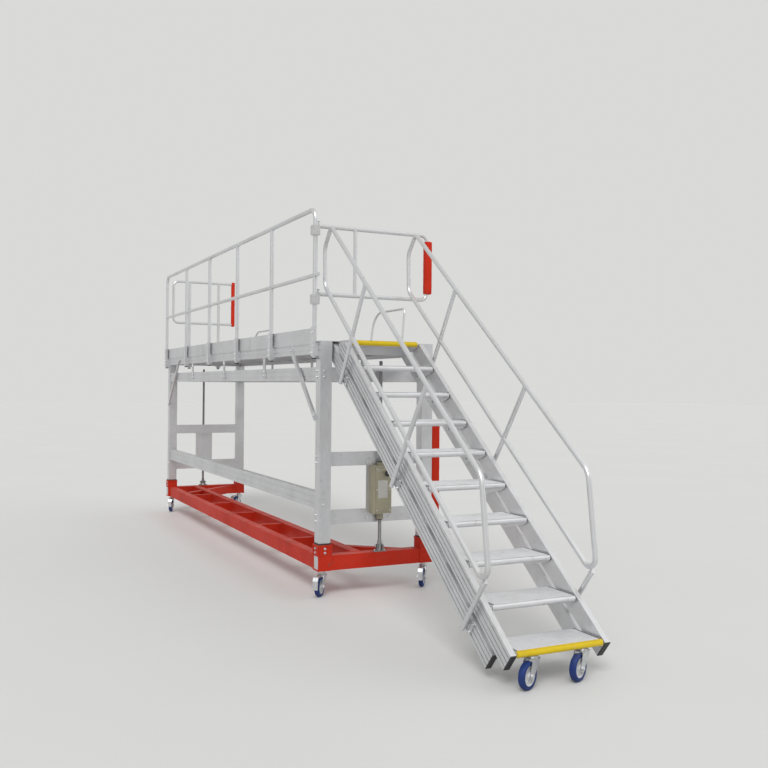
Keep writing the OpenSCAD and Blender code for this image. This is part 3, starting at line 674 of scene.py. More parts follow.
class Sides(IntEnum):
    """How many sides turned shapes have, by what they are."""

    HEXAGON = 6
    DECK_RIVET = 10
    EDGE_RIVET = 12
    RIVET = 16
    SCREW = 18
    WASHER = 20
    CAP = 24
    TUBE = 28
    SEAL = 32
    CRANK = 36
    RACE = 40
    RIM = 48
    TYRE = 72


def spaced(start: float, end: float, count: int) -> list[float]:
    """Lists places at equal steps, both ends among them."""
    return [start + i * (end - start) / (count - 1) for i in range(count)]


def mirrored(half: Iterable[Span]) -> list[Span]:
    """Closes a half profile with its mirror image across height zero."""
    upper = list(half)
    return upper + [(radius, -height) for radius, height in reversed(upper)]


def in_scene(name: str, data: bpy.types.ID) -> bpy.types.Object:
    """Puts data in the scene as an object.

    Args:
        name: The object's name.
        data: Its mesh, lamp or camera.

    Returns:
        The object.
    """
    made = bpy.data.objects.new(name, data)
    bpy.context.scene.collection.objects.link(made)
    return made


def basis(axis: Vector) -> Matrix:
    """Makes a turn whose third column is an axis.

    Args:
        axis: The new z direction.

    Returns:
        A 3 by 3 turn.
    """
    w = axis.normalized()
    guide = Z if abs(w.dot(Z)) < NEARLY_ALONG else X
    u = guide.cross(w).normalized()
    v = w.cross(u)
    return Matrix((u, v, w)).transposed()


@dataclass
class Piece:
    """Collects the faces of one piece in millimetres, and makes its object."""

    name: str
    body: str
    finish: Finish
    points: list[Vector] = field(default_factory=list)
    faces: list[tuple[int, ...]] = field(default_factory=list)

    def add(self, points: Iterable[Vector], faces: Iterable[Sequence[int]]) -> None:
        """Adds points and faces.

        Args:
            points: The points.
            faces: The faces, which count from the first of the points.
        """
        start = len(self.points)
        self.points.extend(points)
        self.faces.extend(tuple(start + i for i in face) for face in faces)

    def loft(self, rings: Sequence[Ring], closed: bool = False) -> None:
        """Joins rings of points with faces.

        Args:
            rings: Rings with the same number of points.
            closed: Whether the last ring joins the first. Otherwise the end rings are capped.
        """
        n = len(rings[0])
        points = [p for ring in rings for p in ring]
        faces = []
        for i in range(len(rings) if closed else len(rings) - 1):
            a, b = i * n, ((i + 1) % len(rings)) * n
            faces += [(a + j, a + (j + 1) % n, b + (j + 1) % n, b + j) for j in range(n)]
        if not closed:
            faces.append(tuple(range(n - 1, -1, -1)))
            faces.append(tuple((len(rings) - 1) * n + j for j in range(n)))
        self.add(points, faces)

    def lathe(
        self,
        profile: Iterable[Span],
        place: Vector,
        axis: Vector,
        sides: int,
        closed: bool = False,
    ) -> None:
        """Turns a profile round an axis.

        Args:
            profile: Pairs of radius and height along the axis.
            place: Where the height is zero.
            axis: Direction of the axis.
            sides: Number of sides.
            closed: Whether the profile is a closed loop.
        """
        turn = basis(axis)
        rings = []
        for radius, height in profile:
            ring = []
            for k in range(sides):
                angle = 2 * math.pi * k / sides
                around = Vector((radius * math.cos(angle), radius * math.sin(angle), height))
                ring.append(place + turn @ around)
            rings.append(ring)
        self.loft(rings, closed=closed)

    def box(self, low: Sequence[float], high: Sequence[float], edge: float = BLUNT) -> None:
        """Adds an upright block with broken edges.

        Args:
            low: Lowest corner.
            high: Highest corner.
            edge: Width of the broken edges.
        """
        centre = (Vector(low) + Vector(high)) / 2
        half = (Vector(high) - Vector(low)) / 2
        self.slab(centre, (X, Y, Z), half, edge)

    def slab(
        self, centre: Vector, axes: tuple[Vector, Vector, Vector], half: Sequence[float], edge: float = BLUNT
    ) -> None:
        """Adds a block in any direction, with broken edges along its third axis' two faces.

        Args:
            centre: Its middle.
            axes: Its three directions.
            half: Half its size along each.
            edge: Width of the broken edges.
        """
        a, b, c = (float(v) for v in half)
        e = min(edge, a * MOST_INSET, b * MOST_INSET, c * MOST_INSET)
        rings = []
        for inset, level in ((e, -c), (0.0, -c + e), (0.0, c - e), (e, c)):
            u, v = a - inset, b - inset
            flat = [
                (-u + e, -v), (u - e, -v), (u, -v + e), (u, v - e),
                (u - e, v), (-u + e, v), (-u, v - e), (-u, -v + e),
            ]
            rings.append([centre + axes[0] * p + axes[1] * q + axes[2] * level for p, q in flat])
        self.loft(rings)

    def bolt(self, place: Vector, axis: Vector, kind: Bolt = Bolt.FRAME) -> None:
        """Adds a hexagon head on a washer.

        Args:
            place: Where the bolt enters the surface.
            axis: Outward direction.
            kind: Which bolt it is.
        """
        flats, head = kind.value
        r = flats / 2
        corner = r / math.cos(math.pi / 6)
        rim, seat = r * WASHER_RIM, WASHER_T + WASHER_GROWTH * flats
        washer = ((rim, 0), (rim, seat * WASHER_EDGE), (r * WASHER_LAND, seat))
        self.lathe(washer, place, axis, Sides.WASHER)
        hexagon = ((corner, seat), (corner, seat + head * HEAD_EDGE), (r * HEAD_LAND, seat + head))
        self.lathe(hexagon, place, axis, Sides.HEXAGON)

    def dome(
        self, place: Vector, axis: Vector, radius: float, height: float, sides: int = Sides.RIVET
    ) -> None:
        """Adds a round head, such as a rivet's or a cap's.

        Args:
            place: Middle of its foot.
            axis: Outward direction.
            radius: Its radius.
            height: Its height.
            sides: Number of sides.
        """
        self.lathe([(radius * math.cos(t), height * math.sin(t)) for t in DOME_STEPS], place, axis, sides)

    def socket_screw(self, place: Vector, axis: Vector, radius: float = 6.0, head: float = 5.0) -> None:
        """Adds a round head with a hexagon socket.

        Args:
            place: Where the screw enters the surface.
            axis: Outward direction.
            radius: Radius of the head.
            head: Height of the head.
        """
        land, mouth, wall = radius * SCREW_LAND, radius * SOCKET_R, radius * SOCKET_WALL
        outer = [(radius, 0), (radius, head * SCREW_EDGE), (land, head), (mouth, head)]
        self.lathe(outer, place, axis, Sides.SCREW)
        self.lathe([(wall, head * SOCKET_TOP), (wall, head * SOCKET_FLOOR)], place, axis, Sides.HEXAGON)

    def bead(self, start: Vector, end: Vector, radius: float = 4.0) -> None:
        """Adds a straight weld bead with ripples.

        Args:
            start: One end of the seam.
            end: The other end.
            radius: Radius of the bead.
        """
        run = end - start
        turn = basis(run)
        count = max(4, round(run.length / BEAD_PITCH))
        rings = []
        for i in range(count + 1):
            centre = start + run * (i / count)
            wobble = BEAD_WOBBLE * noise.noise(centre * WOBBLE_SCALE)
            swell = radius * (BEAD_TAPER if i in (0, count) else 1.0 + BEAD_RIPPLE[i % 2] + wobble)
            rings.append([centre + turn @ Vector((c * swell, s * swell, 0)) for c, s in BEAD_ROUND])
        self.loft(rings)

    def collar(self, place: Vector, axis: Vector, tube: float, radius: float = 3.2) -> None:
        """Adds a weld bead round a tube's end.

        Args:
            place: Middle of the tube's end.
            axis: Direction of the tube.
            tube: Diameter of the tube.
            radius: Radius of the bead.
        """
        turn = basis(axis)
        rings = []
        for k in range(Sides.TUBE):
            angle = 2 * math.pi * k / Sides.TUBE
            out = turn @ Vector((math.cos(angle), math.sin(angle), 0))
            r = radius * (1.0 + COLLAR_RIPPLE[k % 2])
            centre = place + out * (tube / 2)
            rings.append([centre + out * r * c + axis * r * s for c, s in BEAD_ROUND])
        self.loft(rings, closed=True)

    def build(self, smooth_deg: float = CRISP) -> bpy.types.Object:
        """Makes the object, dresses it and lets it ride on its body.

        Args:
            smooth_deg: Edges sharper than this stay sharp.

        Returns:
            The object.
        """
        mesh = bpy.data.meshes.new(self.name)
        mesh.from_pydata([p * MM + ORIGIN for p in self.points], [], self.faces)
        mesh.validate()
        mesh.polygons.foreach_set("use_smooth", [True] * len(mesh.polygons))
        mesh.set_sharp_from_angle(angle=math.radians(smooth_deg))
        mesh.materials.append(self.finish.material())
        made = in_scene(self.name, mesh)
        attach(made, self.body)
        LOG.info("%s on %s: %d faces", self.name, self.body, len(mesh.polygons))
        return made


def rounded_square(centre: Vector, half_x: float, half_y: float, radius: float, steps: int) -> Ring:
    """Draws a level rounded rectangle.

    Args:
        centre: Its middle.
        half_x: Half its size along x.
        half_y: Half its size along y.
        radius: Radius of its corners.
        steps: Points on a corner.

    Returns:
        Its points.
    """
    radius = min(radius, half_x * MOST_ROUND, half_y * MOST_ROUND)
    ring = []
    for quarter, (sx, sy) in enumerate(((1, 1), (-1, 1), (-1, -1), (1, -1))):
        hub = centre + Vector((sx * (half_x - radius), sy * (half_y - radius), 0))
        for k in range(steps + 1):
            angle = (quarter + k / steps) * math.pi / 2
            ring.append(hub + Vector((math.cos(angle), math.sin(angle), 0)) * radius)
    return ring


# Sub-assemblies


@dataclass
class Castor:
    """A swivel castor with a blue tyre on a pale rim.

    Profiles are pairs of radius and height along the axis. The tyre's are measured from its flat
    side, and those of its crown also from the tread.
    """

    name: str
    braked: bool
    wheel_d: float = 160.0
    tyre_w: float = 40.0
    tyre_side: Profile = ((57.2, 2), (59, 0), (63, 0), (64.5, 1.6), (66, 0))
    tyre_crown: Profile = ((9, 0), (4.5, 2), (1.5, 5.5), (0.2, 10), (0, 14))
    rim_side: Profile = (
        (8.2, 23.5), (19, 23.5), (21, 21), (23, 9), (46, 7), (49.5, 15), (52, 17.5), (57.4, 17.5),
    )
    rib_n: int = 8
    rib_r: float = 35.5
    rib_out: float = 10.5
    rib_half: Size = (14.5, 1.8, 3.6)
    bearing: Profile = ((8.3, 0), (17, 0), (17, 1.6), (15, 2.2), (8.3, 2.2))
    bearing_out: float = 23.2
    leg_out: float = 32.0
    crown: float = 166.0
    crown_t: float = 5.0
    race: Profile = ((27.5, 9.5), (33, 9.5), (34, 11), (34, 13.5), (33, 15), (27.5, 15))
    rivet_at: Span = (16.0, 22.0)
    grip_n: int = 6
    grip_from: float = 96.0
    grip_pitch: float = 8.0
    grip_up: float = 5.6
    grip_half: Size = (17.0, 1.6, 1.1)
    centre: Vector = field(init=False)
    axle: Vector = field(init=False)
    swivel: Vector = field(init=False)
    heading: Vector = field(init=False)

    def __post_init__(self) -> None:
        """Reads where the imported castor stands."""
        spin, turn = JOINTS["spin_" + self.name], JOINTS["swivel_" + self.name]
        self.centre = to_mm(spin["pos_m"])
        self.axle = Vector(spin["axis"]).normalized()
        self.swivel = to_mm(turn["pos_m"])
        away = self.centre - self.swivel
        self.heading = Vector((away.x, away.y, 0)).normalized()

    @property
    def roller(self) -> str:
        """Names the wheel's body."""
        return "roller_" + self.name

    @property
    def fork(self) -> str:
        """Names the fork's body."""
        return "castor_" + self.name

    def tyre(self) -> None:
        """Builds the tyre, with shallow grooves in its sides."""
        r, w = self.wheel_d / 2, self.tyre_w / 2
        side = [(radius, w - depth) for radius, depth in self.tyre_side]
        crown = [(r - below, w - depth) for below, depth in self.tyre_crown]
        piece = Piece("tyre_" + self.name, self.roller, TYRE)
        piece.lathe(mirrored((*side, *crown)), self.centre, self.axle, Sides.TYRE, closed=True)
        made = piece.build()
        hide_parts("wheel_" + self.name)

    def rim(self) -> None:
        """Builds the rim with its hub and ribs, and its bearings."""
        piece = Piece("rim_" + self.name, self.roller, RIM)
        piece.lathe(mirrored(self.rim_side), self.centre, self.axle, Sides.RIM, closed=True)
        for k in range(self.rib_n):
            out = self._around(2 * math.pi * k / self.rib_n)
            across = self.axle.cross(out)
            for side in (-1, 1):
                centre = self.centre + out * self.rib_r + self.axle * side * self.rib_out
                piece.slab(centre, (out, across, self.axle), self.rib_half)
        piece.build()
        bearings = Piece("bearing_" + self.name, self.roller, ZINC)
        for side in (-1, 1):
            place = self.centre + self.axle * side * self.bearing_out
            bearings.lathe(self.bearing, place, self.axle * side, Sides.SEAL, closed=True)
        bearings.build()

    def _around(self, angle: float) -> Vector:
        """Gives a direction square to the axle."""
        return Z * math.cos(angle) + self.heading * math.sin(angle)

    def fittings(self) -> None:
        """Builds the axle nuts, the swivel race with its rivets and the pedal's grip."""
        piece = Piece("castor_fittings_" + self.name, self.fork, BOLTS)
        for side in (-1, 1):
            piece.bolt(self.centre + self.axle * side * self.leg_out, self.axle * side, Bolt.AXLE)
        base = Vector((self.swivel.x, self.swivel.y, 0))
        piece.lathe(self.race, base + Z * self.crown, Z, Sides.RACE, closed=True)
        ahead, aside = self.rivet_at
        for side in (-1, 1):
            level = base + Z * (self.crown + self.crown_t)
            piece.dome(level + self.heading * ahead + self.axle * side * aside, Z, *RIVET)
        piece.build()
        if self.braked:
            grip = Piece("pedal_grip_" + self.name, self.fork, ZINC)
            for k in range(self.grip_n):
                along = self.heading * (self.grip_from + self.grip_pitch * k)
                place = base + along + Z * (self.crown + self.grip_up)
                grip.slab(place, (self.axle, self.heading, Z), self.grip_half, edge=0.5)
            grip.build()

    def build(self) -> None:
        """Dresses the fork and builds the rest of the castor."""
        assign_nodes(ZINC, "fork_" + self.name)
        self.tyre()
        self.rim()
        self.fittings()


@dataclass
class BaseFrame:
    """The red base: beams, rungs, diagonals and post sockets."""

    width: float
    length: float
    under: float = 204.0
    top: float = 326.0
    socket_top: float = 416.0
    post: float = 100.0
    wall: float = 8.0
    rung_n: int = 5
    rung_w: float = 60.0
    rung_inset: float = 10.0
    outer_beam_in: float = 90.0
    inner_beam: Span = (340.0, 420.0)
    weld_in: float = 2.0
    beam_weld_up: float = 4.0
    strip_half: Span = (4.0, 3.0)
    strip_sink: float = 2.0
    strip_drop: float = 15.0
    clamp_up: float = 26.0
    clamp_drop: float = 30.0
    plate_t: float = 2.4
    plate_half: float = 40.0
    plate_in: float = 44.0
    plate_gaps: Span = (8.0, 4.0)
    plate_rivets: Span = (22.0, 18.0)

    def welds(self) -> None:
        """Builds the weld beads between the beams."""
        piece = Piece("base_welds", "base", BASE_PAINT)
        outer, inner, aside = self.outer_beam_in, *self.inner_beam
        rung_top, rung_low = self.top - self.rung_inset, self.under + self.rung_inset
        step = (self.length - 2 * self.post) / (self.rung_n + 1)
        for i in range(1, self.rung_n + 1):
            y = self.post + i * step
            near, far = y - self.rung_w / 2, y + self.rung_w / 2
            for x in (outer, inner):
                piece.bead(Vector((x, near, rung_top)), Vector((x, far, rung_top)))
                for edge in (near, far):
                    piece.bead(Vector((x, edge, rung_low)), Vector((x, edge, rung_top)))
        for y in (self.post, self.length - self.post):
            piece.bead(Vector((inner, y, self.top)), Vector((aside, y, self.top)))
            for x in (inner, aside):
                piece.bead(Vector((x, y, self.under + self.beam_weld_up)), Vector((x, y, self.top)))
        low = self.under + self.weld_in
        for x in (self.post + self.wall, self.width - self.post - self.wall):
            for y in (0.0, self.length - self.post):
                far = y + self.post
                start, end = y + self.weld_in, far - self.weld_in
                piece.bead(Vector((x, y, low)), Vector((x, y, self.top)))
                piece.bead(Vector((x, start, self.top)), Vector((x, end, self.top)))
                piece.bead(Vector((x, far, low)), Vector((x, far, self.top)))
        piece.build()

    def _strip(self, piece: Piece, x: float, y: float, half: Span) -> None:
        """Adds one upright strip of a socket's flange.

        Args:
            piece: The flanges.
            x: Its middle along x.
            y: Its middle along y.
            half: Half its size along x and y.
        """
        low = (x - half[0], y - half[1], self.top - self.strip_sink)
        high = (x + half[0], y + half[1], self.socket_top - self.strip_drop)
        piece.box(low, high, edge=1.2)

    def sockets(self) -> None:
        """Builds the sockets' flanges and clamp screws, and a pale riveted patch on each socket's outer
        face.
        """
        flanges = Piece("socket_flanges", "base", BASE_PAINT)
        screws = Piece("socket_screws", "base", BOLTS)
        plates = Piece("pale_socket_patches", "base", ALONG_Z)
        mid = self.post / 2
        face = mid + self.wall
        broad, thin = self.strip_half
        for cx, out_x in ((mid, -1), (self.width - mid, 1)):
            for cy, out_y in ((mid, -1), (self.length - mid, 1)):
                for across in (-1, 1):
                    end = across * (face - broad)
                    self._strip(flanges, cx + end, cy + out_y * (face + thin), (broad, thin))
                    self._strip(flanges, cx + out_x * (face + thin), cy + end, (thin, broad))
                for z in (self.top + self.clamp_up, self.socket_top - self.clamp_drop):
                    screws.bolt(Vector((cx + out_x * face, cy, z)), X * out_x, Bolt.SOCKET)
                    screws.bolt(Vector((cx, cy + out_y * face, z)), Y * out_y, Bolt.SOCKET)
                # A pale aluminium patch with two rivets on the outer face of each socket, at the beams'
                # height
                half = self.plate_t / 2
                x = cx + out_x * (face + half)
                y = cy + out_y * (face - self.plate_in)
                low, high = self.under + self.plate_gaps[0], self.top - self.plate_gaps[1]
                near, far = y - self.plate_half, y + self.plate_half
                plates.box((x - half, near, low), (x + half, far, high), edge=0.6)
                for z in (self.under + self.plate_rivets[0], self.top - self.plate_rivets[1]):
                    screws.dome(Vector((x + out_x * half, y, z)), X * out_x, *RIVET)
        flanges.build()
        screws.build()
        plates.build()

    def build(self) -> None:
        """Dresses the base and builds its trim."""
        parts = ("side_beams", "end_beams", "rungs", "braces", "sockets")
        assign_nodes(BASE_PAINT, *("base_" + part for part in parts))
        assign_nodes(ZINC, "masts")
        self.welds()
        self.sockets()


@dataclass
class Jacks:
    """The two screw jacks with their gearboxes. The far one is the near one turned half round."""

    width: float
    length: float
    jack_x: float = 556.0
    jack_y: float = 22.0
    beam_top: float = 326.0
    gear_w: float = 170.0
    gear_top: float = 1050.0
    gear_h: float = 400.0
    front: float = -38.0
    cover_in: float = 16.0
    cover_t: float = 5.0
    rib_levels: tuple[float, ...] = (50.0, 90.0, 318.0, 350.0)
    rib_in: float = 36.0
    rib_half: Span = (4.0, 1.0)
    cover_screw_in: Span = (26.0, 28.0)
    plate_front: float = 52.0
    plate_low: float = 590.0
    plate_bolt_out: float = 14.0
    plate_bolt_up: Span = (24.0, 22.0)
    sign_at: Span = (-4.0, 204.0)
    sign_half: Size = (44.0, 74.0, 1.0)
    crank: Span = (591.7, 986.0)
    crank_bolt: Span = (-80.0, 22.0)
    crank_collar: Profile = ((12, 14.2), (24, 14.2), (26, 16), (26, 22), (23, 25), (12, 25))
    seal: Profile = ((14.6, 0), (24, 0), (24, 3), (19, 8), (14.6, 8))
    seal_gaps: Span = (25.0, 50.0)
    foot_bolt: Span = (43.0, 10.0)
    foot_pin: Span = (40.0, 46.0)
    pin_end: Profile = ((9.5, -3), (9.5, 2), (7, 3.5))

    def _at(self, turn: float, x: float, y: float, z: float) -> Vector:
        """Places a point of the near jack, or of the far one where the turn is -1."""
        return Vector((x, y, z)) if turn > 0 else Vector((self.width - x, self.length - y, z))

    def gear_cover(self, name: str, turn: float) -> None:
        """Builds the ribbed cover of one gearbox.

        Args:
            name: Which end it stands at.
            turn: 1 for the near end and -1 for the far end.
        """
        axes = (X * turn, Z, -Y * turn)
        w, low, half = self.gear_w / 2, self.gear_top - self.gear_h, self.cover_t / 2
        cover = Piece("gear_cover_" + name, "platform", GEAR_PAINT)
        face = self._at(turn, self.jack_x, self.front - half, low + self.gear_h / 2)
        cover.slab(face, axes, (w - self.cover_in, self.gear_h / 2 - self.cover_in, half), edge=2.0)
        rib_y = self.front - self.cover_t - self.rib_half[1] / 2
        for level in self.rib_levels:
            rib = self._at(turn, self.jack_x, rib_y, low + level)
            cover.slab(rib, axes, (w - self.rib_in, *self.rib_half))
        cover.build()

    def gear_screws(self, name: str, turn: float) -> None:
        """Builds the screws of one gearbox' cover and the bolts of its plate.

        Args:
            name: Which end it stands at.
            turn: 1 for the near end and -1 for the far end.
        """
        out = -Y * turn
        w, low = self.gear_w / 2, self.gear_top - self.gear_h
        front = self.front - self.cover_t
        screws = Piece("gear_screws_" + name, "platform", BOLTS)
        aside, inward = self.cover_screw_in
        above, over = self.plate_bolt_up
        for sx in (-1, 1):
            for z in (low + inward, low + self.gear_h / 2, self.gear_top - inward):
                screws.socket_screw(self._at(turn, self.jack_x + sx * (w - aside), front, z), out)
            x = self.jack_x + sx * (w + self.plate_bolt_out)
            for z in (self.plate_low + above, self.gear_top + over):
                screws.bolt(self._at(turn, x, self.plate_front, z), out, Bolt.GEARBOX)
        x, z = (middle + shift for middle, shift in zip(self.crank, self.crank_bolt, strict=True))
        screws.bolt(self._at(turn, x, front, z), out, Bolt.CRANK)
        screws.build()

    def gear_fittings(self, name: str, turn: float) -> None:
        """Builds the blank plate, the crank's collar and the screw's seals of one gearbox.

        Args:
            name: Which end it stands at.
            turn: 1 for the near end and -1 for the far end.
        """
        axes = (X * turn, Z, -Y * turn)
        low = self.gear_top - self.gear_h
        plate = Piece("gear_plate_" + name, "platform", BLANK_PLATE)
        sign_y = self.front - self.cover_t - self.sign_half[2]
        place = self._at(turn, self.jack_x + self.sign_at[0], sign_y, low + self.sign_at[1])
        plate.slab(place, axes, self.sign_half, edge=0.6)
        plate.build()
        knob = Piece("crank_collar_" + name, "platform", BLACK)
        x, z = self.crank
        knob.lathe(self.crank_collar, self._at(turn, x, self.front, z), axes[2], Sides.CRANK, closed=True)
        knob.build()
        seals = Piece("screw_seals_" + name, "platform", BLACK)
        for z, up in ((self.gear_top + self.seal_gaps[0], 1), (low - self.seal_gaps[1], -1)):
            place = self._at(turn, self.jack_x, self.jack_y, z)
            seals.lathe(self.seal, place, Z * up, Sides.SEAL, closed=True)
        seals.build()

    def foot_trim(self, name: str, turn: float) -> None:
        """Builds the bolts of one screw's foot.

        Args:
            name: Which end it stands at.
            turn: 1 for the near end and -1 for the far end.
        """
        piece = Piece("screw_foot_bolts_" + name, "base", BOLTS)
        (bolt_x, bolt_up), (pin_x, pin_up) = self.foot_bolt, self.foot_pin
        for sx in (-1, 1):
            bolt = self._at(turn, self.jack_x + sx * bolt_x, self.jack_y, self.beam_top + bolt_up)
            piece.bolt(bolt, Z, Bolt.HANGER)
            pin = self._at(turn, self.jack_x + sx * pin_x, self.jack_y, self.beam_top + pin_up)
            piece.lathe(self.pin_end, pin, X * sx * turn, Sides.WASHER)
        piece.build()

    def build(self) -> None:
        """Dresses the jacks and builds their trim."""
        assign_nodes(SCREW, "jack_screws")
        assign_nodes(GEAR_PAINT, "gearboxes")
        assign_nodes(ALONG_Z, "gearbox_plates")
        for name, turn in (("near", 1.0), ("far", -1.0)):
            self.gear_cover(name, turn)
            self.gear_screws(name, turn)
            self.gear_fittings(name, turn)
            self.foot_trim(name, turn)


@dataclass
class LiftFrame:
    """The lifting frame: posts, rails, braces and hangers.

    Rails are given by their lower edge, and the low side rail by its lower edge and its depth.
    """

    width: float
    length: float
    post: float = 100.0
    rail_d: float = 114.0
    rails: tuple[float, ...] = (570.0, 1050.0, 1752.0)
    low_side: Span = (700.0, 140.0)
    bolt_shares: Span = (0.28, 0.72)
    side_bolt_in: float = 80.0
    end_bolt_in: float = 35.0
    post_low: float = 416.3
    brace_top: float = 2027.5
    brace_reach: float = 575.0
    brace_out: float = 20.0
    brace_from: Span = (104.0, 90.0)
    brace_bolt_in: float = 14.0
    hanger_n: int = 3
    hanger_ahead: float = 65.0
    hanger_bolts: tuple[float, ...] = (50.0, 88.0, 190.0)
    seal_out: float = 3.0
    seal_gap: float = 0.5
    seal_h: float = 12.0

    def joint_bolts(self) -> None:
        """Builds the bolts that hold the rails in the posts."""
        piece = Piece("frame_bolts", "platform", BOLTS)
        for sx, x in ((-1, 0.0), (1, self.width)):
            levels = [(self.rails[-1], self.rail_d)] + ([self.low_side] if sx < 0 else [])
            for y0, inward in ((0.0, 1.0), (self.length, -1.0)):
                for z in self.rails:
                    for share in self.bolt_shares:
                        place = Vector((x, y0 + inward * self.side_bolt_in, z + share * self.rail_d))
                        piece.bolt(place, X * sx)
                for z, depth in levels:
                    for share in self.bolt_shares:
                        place = Vector((x - sx * self.end_bolt_in, y0, z + share * depth))
                        piece.bolt(place, -Y * inward)
        piece.build()

    def brace_bolts(self) -> None:
        """Builds the bolts and washers of the knee braces and the hangers."""
        piece = Piece("brace_bolts", "platform", BOLTS)
        low = self.brace_top - self.brace_reach + self.brace_bolt_in
        high = self.brace_top - self.brace_bolt_in
        foot_y, head_y = self.brace_from
        ends = ((foot_y, low), (head_y + self.brace_reach - self.brace_bolt_in, high))
        for y0, inward in ((0.0, 1.0), (self.length, -1.0)):
            for y, z in ends:
                piece.bolt(Vector((-self.brace_out, y0 + inward * y, z)), -X)
        for i in range(1, self.hanger_n + 1):
            y = self.length * i / (self.hanger_n + 1) + self.hanger_ahead
            for x, out in ((0.0, -X), (self.width, X)):
                for up in self.hanger_bolts:
                    piece.bolt(Vector((x, y, self.rails[-1] + up)), out, Bolt.HANGER)
        piece.build()

    def collars(self) -> None:
        """Builds the dark seals at the feet of the posts."""
        piece = Piece("post_seals", "platform", BLACK)
        out = self.seal_out
        z0, z1 = self.post_low + self.seal_gap, self.post_low + self.seal_h
        for x0 in (0.0, self.width - self.post):
            for y0 in (0.0, self.length - self.post):
                x1, y1 = x0 + self.post, y0 + self.post
                piece.box((x0 - out, y0 - out, z0), (x1 + out, y0, z1))
                piece.box((x0 - out, y1, z0), (x1 + out, y1 + out, z1))
                piece.box((x0 - out, y0, z0), (x0, y1, z1))
                piece.box((x1, y0, z0), (x1 + out, y1, z1))
        piece.build()

    def build(self) -> None:
        """Dresses the frame and builds its trim."""
        assign_nodes(ALONG_Z, "posts", "hangers")
        assign_nodes(ALONG_Y, "side_rails", "knee_braces")
        assign_nodes(ALONG_X, "cross_rails")
        self.joint_bolts()
        self.brace_bolts()
        self.collars()


